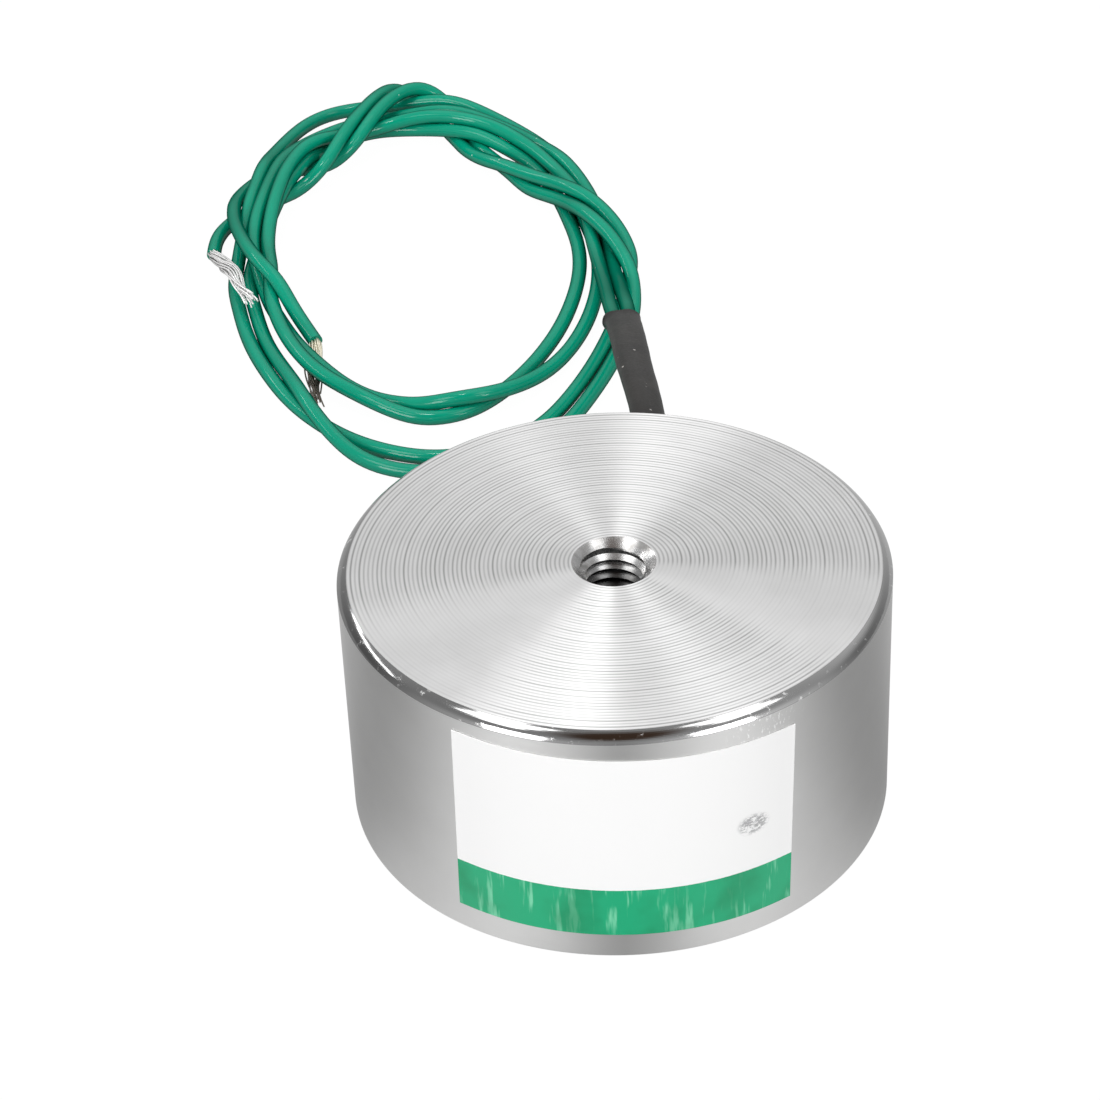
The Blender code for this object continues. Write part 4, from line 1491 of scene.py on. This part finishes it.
    def sleeved(self, lead: Lead) -> list[Vector]:
        """One lead's line inside the sleeve, beside the other lead.

        Args:
            lead: Which lead.

        Returns:
            Its points, in metres.
        """
        line = self.centre_line()
        points = []
        for index, place in enumerate(line):
            direction = (line[min(index + 1, len(line) - 1)] - line[max(index - 1, 0)]).normalized()
            level = direction.cross(Vector((0.0, 0.0, 1.0))).normalized()
            level.rotate(Quaternion(direction, math.radians(self.sleeve_twist[index])))
            points.append(place + level * lead.value * self.pitch / 2)
        return points

    def floor(self, points: np.ndarray) -> np.ndarray:
        """The lowest height of a lead's centre, raised where the other lead's strands lie under it."""
        away = ((points[:, :2] - self.lifted_at) ** 2).sum(1)
        return self.lay.diameter / 2 + self.lift * np.exp(-away / (2 * self.lift_reach**2))

    def lay_out(self) -> None:
        """Draw both leads as they were laid, and settle their coil."""
        laid, held = [], []
        for lead, run, table, end in (
            (Lead.A, self.run_a, self.lay.lead_a, self.end_a),
            (Lead.B, self.run_b, self.lay.lead_b, self.end_b),
        ):
            start = np.array([*self.inside(lead), *self.sleeved(lead)]) / MM
            points = spread_evenly(np.vstack([start, run, self.lay.route(table), end]), self.lay.step)
            behind = np.nonzero(points[:, 1] > self.loose_behind)[0][0]
            share = np.clip((np.arange(len(points)) - behind) / self.eased_points, 0, 1)[:, None]
            points += share * (smooth_along(points, self.easing, self.lay.step) - points)
            laid.append(points)
            held.append(int(behind))
        settling = Settling(self.lay.diameter, self.lay.step)
        for lead, points in zip(Lead, settling.run(laid, held, self.floor)):
            self.paths[lead] = points * MM
            length = np.linalg.norm(np.diff(points, axis=0), axis=1).sum()
            LOG.info("lead %s is %.1f mm long", lead.name, length)

    def tube(self, lead: Lead) -> bpy.types.Object:
        """Model one lead's insulation along its settled path, with a cut end.

        Args:
            lead: Which lead.

        Returns:
            The insulation.
        """
        path = self.paths[lead]
        cord = Bench.draw_wires([path], self.diameter, 6)
        end = Vector(path[-1])
        along = (end - Vector(path[-2])).normalized()
        reach = 0.4 * self.diameter
        Bench.pick_faces(cord, lambda centre, normal: (centre - end).length < reach and normal.dot(along) > 0.9)
        bpy.ops.mesh.inset(thickness=self.skin)
        bpy.ops.mesh.extrude_region_move(TRANSFORM_OT_translate={"value": along * -self.strip_depth})
        return Bench.finish(cord, f"lead_{lead.name.lower()}_insulation", 40.0)

    def build(self, finish: bpy.types.Material) -> dict[Lead, bpy.types.Object]:
        """Build both leads' insulation.

        Args:
            finish: Its material.

        Returns:
            The insulation of each lead.
        """
        self.lay_out()
        nodes = {Lead.A: ("lead_a_run", "lead_coil", "lead_a_end"), Lead.B: ("lead_b_run", "lead_b_end")}
        made = {}
        for lead in Lead:
            made[lead] = self.tube(lead)
            show(made[lead], (finish,), "green_insulation", *nodes[lead])
        return made


@dataclass
class Sleeve:
    """The shrunk sleeve over both leads, from inside the lead hole to its cut mouth."""

    line: Sequence[Vector]
    twist: Sequence[float]
    width: float = 3.08 * MM
    height: float = 1.95 * MM
    wall: float = 0.2 * MM
    spacing: float = 0.35 * MM
    points_round: int = 40
    squareness: float = 2.4
    rounded_mouth: float = 0.04 * MM
    crooked_cut: float = 0.12 * MM

    def ring(
        self, place: np.ndarray, direction: np.ndarray, twist: float, share: float, inset: float
    ) -> list[np.ndarray]:
        """The points round the sleeve at one station.

        Args:
            place: The station.
            direction: The sleeve's direction there.
            twist: How far the pair of leads is turned there, in degrees.
            share: How far along the sleeve it is, from 0 to 1.
            inset: How far inside the outer skin the ring lies.

        Returns:
            The ring's points.
        """
        level = np.cross(direction, (0.0, 0.0, 1.0))
        level /= np.linalg.norm(level)
        above_it = np.cross(level, direction)
        turn = math.radians(twist)
        side = level * math.cos(turn) - above_it * math.sin(turn)
        up = level * math.sin(turn) + above_it * math.cos(turn)
        flare = 0.11 * math.exp(-(1.0 - share) / 0.014)
        neck = 1.0 - 0.06 * math.exp(-share / 0.12)
        lumps = 1.0 + 0.006 * math.sin(29.0 * share) + 0.004 * math.sin(61.0 * share + 1.0)
        points = []
        for index in range(self.points_round):
            angle = 2 * math.pi * index / self.points_round
            across, above = math.cos(angle), math.sin(angle)
            waist = 1.0 - 0.08 * math.exp(-((across / 0.28) ** 2))
            half_width = 0.5 * self.width * (neck * lumps + flare * (1.0 - 0.6 * across)) - inset
            half_height = (0.5 * self.height * (lumps + flare) - inset) * waist
            reach = (abs(across) ** self.squareness + abs(above) ** self.squareness) ** (-1 / self.squareness)
            points.append(place + (side * across * half_width + up * above * half_height) * reach)
        return points

    def build(self, finish: bpy.types.Material) -> bpy.types.Object:
        """Extrude a ring along the leads to the mouth, and back inside as the inner skin.

        Args:
            finish: Its material.

        Returns:
            The sleeve.
        """
        stations = spread_evenly(np.column_stack([np.array(self.line), self.twist]), self.spacing)
        line, twist = stations[:, :3], stations[:, 3]
        tangents = directions(line)
        last = len(line) - 1
        sweep = [(index, 0.0) for index in range(last + 1)]
        sweep += [(last, self.wall * 0.5), (last, self.wall)]
        sweep += [(index, self.wall) for index in range(last - 1, -1, -1)]
        Bench.clear()
        bpy.ops.mesh.primitive_circle_add(vertices=self.points_round, radius=self.width / 2)
        sleeve = bpy.context.object
        Bench.edit(sleeve, "EDGE")
        mesh = bmesh.from_edit_mesh(sleeve.data)
        places = {vert: index for index, vert in enumerate(mesh.verts)}
        for order, (index, inset) in enumerate(sweep):
            place, along = line[index], tangents[index]
            if order in (last, last + 2):
                place = place - along * self.rounded_mouth
            if order:
                bpy.ops.mesh.extrude_region_move(TRANSFORM_OT_translate={"value": along * self.spacing})
                mesh = bmesh.from_edit_mesh(sleeve.data)
                before = {vert.index: turn for vert, turn in places.items()}
                places = {}
                for vert in (vert for vert in mesh.verts if vert.select):
                    others = (edge.other_vert(vert).index for edge in vert.link_edges)
                    places[vert] = next(before[other] for other in others if other in before)
            ring = self.ring(place, along, twist[index], index / last, inset)
            for vert, turn in places.items():
                cut = self.crooked_cut * math.sin(0.9 * turn) if index == last else 0.0
                vert.co = ring[turn] + along * cut
            mesh.verts.index_update()
            bmesh.update_edit_mesh(sleeve.data)
        for edge in mesh.edges:
            edge.select_set(edge.is_boundary)
        bmesh.update_edit_mesh(sleeve.data)
        bpy.ops.mesh.bridge_edge_loops()
        Bench.finish(sleeve, "shrunk_sleeve", 50.0)
        show(sleeve, (finish,), "heat_shrink", "lead_sleeve")
        return sleeve


@dataclass
class BaredStrands:
    """The bundle of fine wires at one lead's bare end, which parts into groups, in millimetres.

    The route leads from inside the insulation to the cut tips. Every group is a share of the wires and the
    place where their tips end.
    """

    name: str
    route: tuple[Point, ...]
    groups: tuple[tuple[float, Point], ...]
    count: int
    wire: float
    widths: Point
    twist: float
    flatten: float
    parting: float
    seed: int

    def lines(self) -> list[np.ndarray]:
        """Draw the path of every wire.

        Returns:
            The points of each wire.
        """
        draw = random.Random(self.seed)
        spine = spread_evenly(np.array(self.route, float), 0.25)
        tangents = directions(spine)
        side = np.cross(tangents, (0.0, 0.0, 1.0))
        side /= np.linalg.norm(side, axis=1)[:, None]
        up = np.cross(side, tangents)
        along = np.linspace(0, 1, len(spine))
        reach = np.interp(along, (0.0, 0.45, 1.0), self.widths)
        squash = np.interp(along, (0.0, 0.35), (1.0, self.flatten))
        parted = np.clip((along - self.parting) / (1.0 - self.parting), 0, 1) ** 1.5
        turns = 2 * math.pi * self.twist
        angles = [index * GOLDEN_ANGLE for index in range(self.count)]
        shares = [math.sqrt((index + 0.5) / self.count) for index in range(self.count)]
        across = [share * math.cos(angle + turns) for angle, share in zip(angles, shares)]
        rank = {index: place for place, index in enumerate(sorted(range(self.count), key=across.__getitem__))}
        made = []
        for index, (angle, share) in enumerate(zip(angles, shares)):
            filled = (rank[index] + 0.5) / self.count
            tip = next((place for upto, place in self.groups if filled <= upto), self.groups[-1][1])
            turn = angle + turns * along + draw.uniform(-0.2, 0.2)
            line = spine + side * (reach * share * np.cos(turn))[:, None]
            line = line + up * (reach * share * squash * np.sin(turn))[:, None]
            line = line + parted[:, None] * (np.array(tip) - spine[-1])
            hook = np.array([draw.uniform(-0.22, 0.22), draw.uniform(-0.22, 0.22), draw.uniform(-0.12, 0.16)])
            line = line + (parted**3)[:, None] * hook
            line[:, 2] = np.maximum(line[:, 2], self.wire / 2 + 0.02)
            made.append(line[: len(line) - draw.randrange(4)])
        return made

    def build(self, finish: bpy.types.Material, node: str) -> bpy.types.Object:
        """Draw every wire and join them as one piece.

        Args:
            finish: Their material.
            node: The solid that they stand for.

        Returns:
            The strands.
        """
        wires = Bench.draw_wires([line * MM for line in self.lines()], self.wire * MM, 2)
        strands = Bench.finish(wires, self.name, 50.0, merge=1e-8)
        show(strands, (finish,), "tinned_strands", node)
        return strands


FAN_A = BaredStrands(
    "lead_a_bared",
    (
        (-36.85, 78.2, 0.8), (-36.84, 77.1, 0.9), (-36.2, 75.5, 1.4), (-35.4, 73.58, 1.9), (-34.09, 70.09, 2.9),
        (-33.16, 67.58, 3.3), (-32.24, 66.14, 3.3), (-31.7, 65.4, 3.0),
    ),
    (
        (0.12, (-33.68, 66.83, 2.30)), (0.3, (-33.06, 65.19, 2.20)), (0.46, (-32.39, 65.24, 2.40)),
        (0.62, (-31.94, 65.27, 2.80)), (1.0, (-31.37, 64.98, 3.00)),
    ),
    count=24, wire=0.16, widths=(0.42, 0.84, 0.78), twist=0.6, flatten=0.6, parting=0.5, seed=5,
)
FAN_B = BaredStrands(
    "lead_b_bared",
    (
        (-26.45, 61.9, 0.85), (-26.3, 61.1, 0.78), (-26.25, 60.25, 0.62), (-26.25, 59.31, 0.42),
        (-26.30, 57.71, 0.28), (-26.09, 55.44, 0.25), (-25.74, 53.16, 0.25),
    ),
    ((0.3, (-26.69, 54.42, 0.25)), (0.62, (-25.84, 52.85, 0.22)), (1.0, (-24.94, 51.46, 0.22))),
    count=22, wire=0.15, widths=(0.44, 0.92, 1.0), twist=0.35, flatten=0.25, parting=0.35, seed=8,
)


# ---- Studio


@dataclass(frozen=True)
class Softbox:
    """A soft lamp that faces the magnet, square unless it has a height of its own."""

    name: str
    place: Point
    size: float
    power: float
    height: float = 0.0

    def hang(self) -> None:
        """Hang the lamp."""
        data = bpy.data.lights.new(self.name, "AREA")
        data.shape = "RECTANGLE"
        data.size = self.size
        data.size_y = self.height or self.size
        data.energy = self.power
        lamp = bpy.data.objects.new(self.name, data)
        lamp.location = self.place
        lamp.rotation_euler = (Vector((0.0, 0.02, 0.0)) - Vector(self.place)).to_track_quat("-Z", "Y").to_euler()
        bpy.context.collection.objects.link(lamp)


@dataclass
class Studio:
    """The camera, the floor and the light.

    The tones round the magnet are pairs: how far round from the camera's side a tone is, as a share of
    half a turn, and how bright it is. The steel mirrors them.
    """

    stand: Vector = field(default_factory=lambda: Vector((0.0, -193.85, 161.38)) * MM)
    aim: Vector = field(default_factory=lambda: Vector((-4.913, 15.413, 10.0)) * MM)
    roll: float = math.radians(-2.512)
    lens: float = 109.21
    floor_tone: float = 0.24
    floor_white: float = 1.14
    tones: tuple[Pair, ...] = (
        (0.0, 0.36), (0.10, 0.80), (0.22, 1.05), (0.38, 0.78), (0.50, 0.36), (0.60, 0.14), (0.74, 0.36),
        (0.88, 0.70), (1.0, 0.85),
    )
    floor_tones: tuple[Pair, ...] = (
        (0.0, 0.36), (0.08, 0.75), (0.20, 0.95), (0.34, 0.60), (0.46, 0.32), (0.58, 0.38), (0.72, 0.62),
        (0.88, 0.75), (1.0, 0.75),
    )
    dark_spot: Point = (0.0, -0.56, 0.79)
    softboxes: tuple[Softbox, ...] = (
        Softbox("top", (0.06, 0.26, 0.58), 0.45, 0.42),
        Softbox("spark", (-0.06, 0.02, 0.52), 0.07, 0.34),
        Softbox("hair", (-0.50, 0.25, 0.29), 0.40, 0.36, 0.05),
        Softbox("left_front", (-0.40, -0.48, 0.26), 0.25, 1.6),
        Softbox("right_front", (0.40, -0.48, 0.26), 0.25, 1.6),
        Softbox("left_key", (-0.36, -0.19, 0.62), 0.28, 1.0),
        Softbox("right_key", (0.36, -0.19, 0.62), 0.28, 0.6),
    )

    def camera(self) -> None:
        """Stand the camera where the magnet is seen from."""
        data = bpy.data.cameras.new("camera")
        data.lens = self.lens
        data.sensor_width = 36.0
        data.clip_start = 0.01
        camera = bpy.data.objects.new("camera", data)
        turn = (self.aim - self.stand).to_track_quat("-Z", "Y").to_matrix() @ Matrix.Rotation(self.roll, 3, "Z")
        camera.matrix_world = Matrix.Translation(self.stand) @ turn.to_4x4()
        bpy.context.collection.objects.link(camera)
        bpy.context.scene.camera = camera

    @staticmethod
    def tone_round(sketch: Sketch, direction: Output, tones: Sequence[Pair]) -> Output:
        """A tone that changes with the direction round the magnet.

        Args:
            sketch: The tree.
            direction: The direction from the magnet.
            tones: The tones, as pairs.

        Returns:
            The tone, as a colour.
        """
        x, y, _ = sketch.split(direction)
        turned = sketch.math("ABSOLUTE", sketch.math("ARCTAN2", x, y * -1.0)) / math.pi
        tone = sketch.make("ShaderNodeValToRGB", (turned,))
        ramp = tone.socket.node.color_ramp
        ramp.interpolation = "B_SPLINE"
        while len(ramp.elements) < len(tones):
            ramp.elements.new(0.5)
        for element, (position, level) in zip(ramp.elements, tones):
            element.position = position
            element.color = (level, level, level, 1.0)
        return tone

    def floor(self) -> None:
        """Lay a pale floor, plain to diffuse light and white to the camera, which keeps the magnet's shadow. To glossy
        rays it glows with tones round the magnet, a painted reflection that the steel mirrors.
        """
        Bench.clear()
        bpy.ops.mesh.primitive_plane_add(size=4.0, location=(0.0, 0.0, -0.05 * MM))
        floor = bpy.context.object
        floor.name = "floor"
        made = bpy.data.materials.new("floor")
        made.use_nodes = True
        sketch = Sketch(made.node_tree)
        end = sketch.node("ShaderNodeOutputMaterial")
        pale = sketch.make("ShaderNodeBsdfDiffuse", ((self.floor_tone,) * 3,))
        place = sketch.make("ShaderNodeTexCoord", (), "Object")
        # Painted reflection: to glossy rays the floor glows with these tones round the magnet.
        mirrored = sketch.make("ShaderNodeEmission", (self.tone_round(sketch, place, self.floor_tones),))
        white = sketch.make("ShaderNodeEmission", {1: self.floor_white})
        for_steel = sketch.make("ShaderNodeLightPath", (), "Is Glossy Ray") * 0.85
        for_camera = sketch.make("ShaderNodeLightPath", (), "Is Camera Ray") * 0.86
        mixed = sketch.make("ShaderNodeMixShader", (for_steel, pale, mirrored))
        sketch.feed(end.inputs[0], sketch.make("ShaderNodeMixShader", (for_camera, mixed, white)))
        floor.data.materials.append(made)

    def world(self) -> None:
        """Light the magnet from a pale surround, with darker sides that the steel mirrors."""
        world = bpy.data.worlds.new("surround")
        bpy.context.scene.world = world
        world.use_nodes = True
        sketch = Sketch(world.node_tree)
        end = sketch.node("ShaderNodeOutputWorld")
        direction = sketch.make("ShaderNodeTexCoord", (), "Generated")
        _, y, z = sketch.split(direction)
        above = sketch.blend(sketch.remap(y, -0.1, 0.75), (0.46, 0.46, 0.46), (0.78, 0.78, 0.78))
        colour = sketch.blend(sketch.remap(z, 0.25, 0.60), self.tone_round(sketch, direction, self.tones), above)
        dark = sketch.remap(sketch.distance(direction, self.dark_spot), 0.18, 0.42, 1.0, 0.0)
        colour = sketch.blend(dark, colour, (0.080, 0.048, 0.032))
        seen = sketch.make("ShaderNodeLightPath", (), "Is Camera Ray")
        back = sketch.make("ShaderNodeBackground", (sketch.blend(seen, colour, (1.0, 1.0, 1.0)),))
        sketch.feed(end.inputs[0], back)

    def build(self) -> None:
        """Set up everything that isn't part of the magnet."""
        self.camera()
        self.floor()
        self.world()
        for softbox in self.softboxes:
            softbox.hang()
        bpy.context.scene.view_settings.view_transform = "Standard"


# ---- The whole magnet


class Magnet:
    """The holding electromagnet with its leads."""

    def __init__(self) -> None:
        """Build the shared effects and the housing's finishes."""
        self.effects = SharedEffects()
        self.housing = Housing()
        handled = polar(20.0 * MM, 150.0, 18.4 * MM)
        self.zones = {
            Zone.FACE: self._made(FacedSteel("faced_steel", (0.86, 0.86, 0.86), 0.33)),
            Zone.WALL: self._made(WallSteel("wall_steel", (0.77, 0.77, 0.765), 0.32, handled)),
            Zone.RIM: self._made(RimSteel("rim_steel", (0.52, 0.52, 0.52), 0.10)),
            # The bore's painted shade is full below 16.3 mm and gone above 19.4 mm.
            Zone.BORE: self._made(CutSteel("cut_steel", (0.66, 0.66, 0.66), 0.24, 16.3 * MM, 19.4 * MM)),
            Zone.INSIDE: self._made(CutSteel("bored_steel", (0.56, 0.55, 0.54), 0.34)),
        }

    def _made(self, finish: Finish) -> bpy.types.Material:
        """The material of a finish."""
        return finish.material(self.effects)

    def cords(self) -> None:
        """Build both leads, their sleeve and their bare strands."""
        leads = Leads(self.housing)
        tubes = leads.build(self._made(Insulation("green_insulation", (0.001, 0.295, 0.182), 0.36)))
        black = self._made(ShrunkTubing("shrunk_tubing", (0.011, 0.010, 0.0095), 0.48))
        sleeve = Sleeve(leads.centre_line(), leads.sleeve_twist).build(black)
        # Centres of the strands' painted shadow: a small one for lead A, and lead B's where its strands run in shade
        # under the coil.
        painted_shadow_spot_a, painted_shadow_spot_b = (Vector((-36.0, 80.0, 0.0)) * MM, Vector((-25.6, 53.0, 0.2)) * MM)
        bright = self._made(TinnedCopper("tinned_copper_a", (0.98, 0.975, 0.97), 0.22, painted_shadow_spot_a, 0.5 * MM, metal=0.35))
        warm = self._made(TinnedCopper("tinned_copper_b", (0.93, 0.87, 0.70), 0.20, painted_shadow_spot_b, 6.4 * MM))
        pieces = {Lead.A: [FAN_A.build(bright, "lead_a_strands")], Lead.B: [FAN_B.build(warm, "lead_b_strands")]}
        pieces[Lead.A].append(sleeve)
        hole = self.housing
        for lead in Lead:
            tuple(polar(hole.radius, hole.exit_azimuth, hole.exit_height))

    def body(self) -> None:
        """Build the housing, its potting and its label."""
        self.housing.build(self.zones)
        Potting().build(self._made(CastResin("cast_resin", (0.030, 0.029, 0.028), 0.45)))
        rubbed = polar(20.1 * MM, 153.0, 10.2 * MM)
        Label().build(self._made(LabelFilm("printed_film", (0.97, 0.97, 0.97), 0.22, rubbed=rubbed)))

    def inner_pieces(self) -> None:
        """Give every solid that stays its own finish."""
        finishes = {
            "bobbin_nylon": self._made(MouldedNylon("moulded_nylon", (0.80, 0.78, 0.70), 0.45)),
            "enamelled_copper": self._made(WoundCopper("wound_copper", (0.62, 0.25, 0.10), 0.30)),
            "winding_tape": self._made(WrappedTape("wrapped_tape", (0.72, 0.56, 0.10), 0.25)),
            "solder": self._made(Solder("solder_skin", (0.68, 0.68, 0.67), 0.35)),
            "splice_tubing": self._made(WovenTubing("woven_tubing", (0.82, 0.80, 0.74), 0.6)),
        }
        for part in frame["record"]["subparts"]:
            finish = finishes.get(part["material_slot"])
            if finish is None:
                continue
            materials = frame["nodes"][part["node"]].data.materials
            materials.clear()
            materials.append(finish)
            LOG.info("%s: dressed as %s", part["node"], finish.name)


def main() -> None:
    """Build the studio, the cords and the body."""
    logging.basicConfig(level=logging.INFO, format="%(name)s: %(message)s")
    Studio().build()
    magnet = Magnet()
    magnet.cords()
    magnet.body()
    magnet.inner_pieces()


if __name__ == "__main__":
    main()
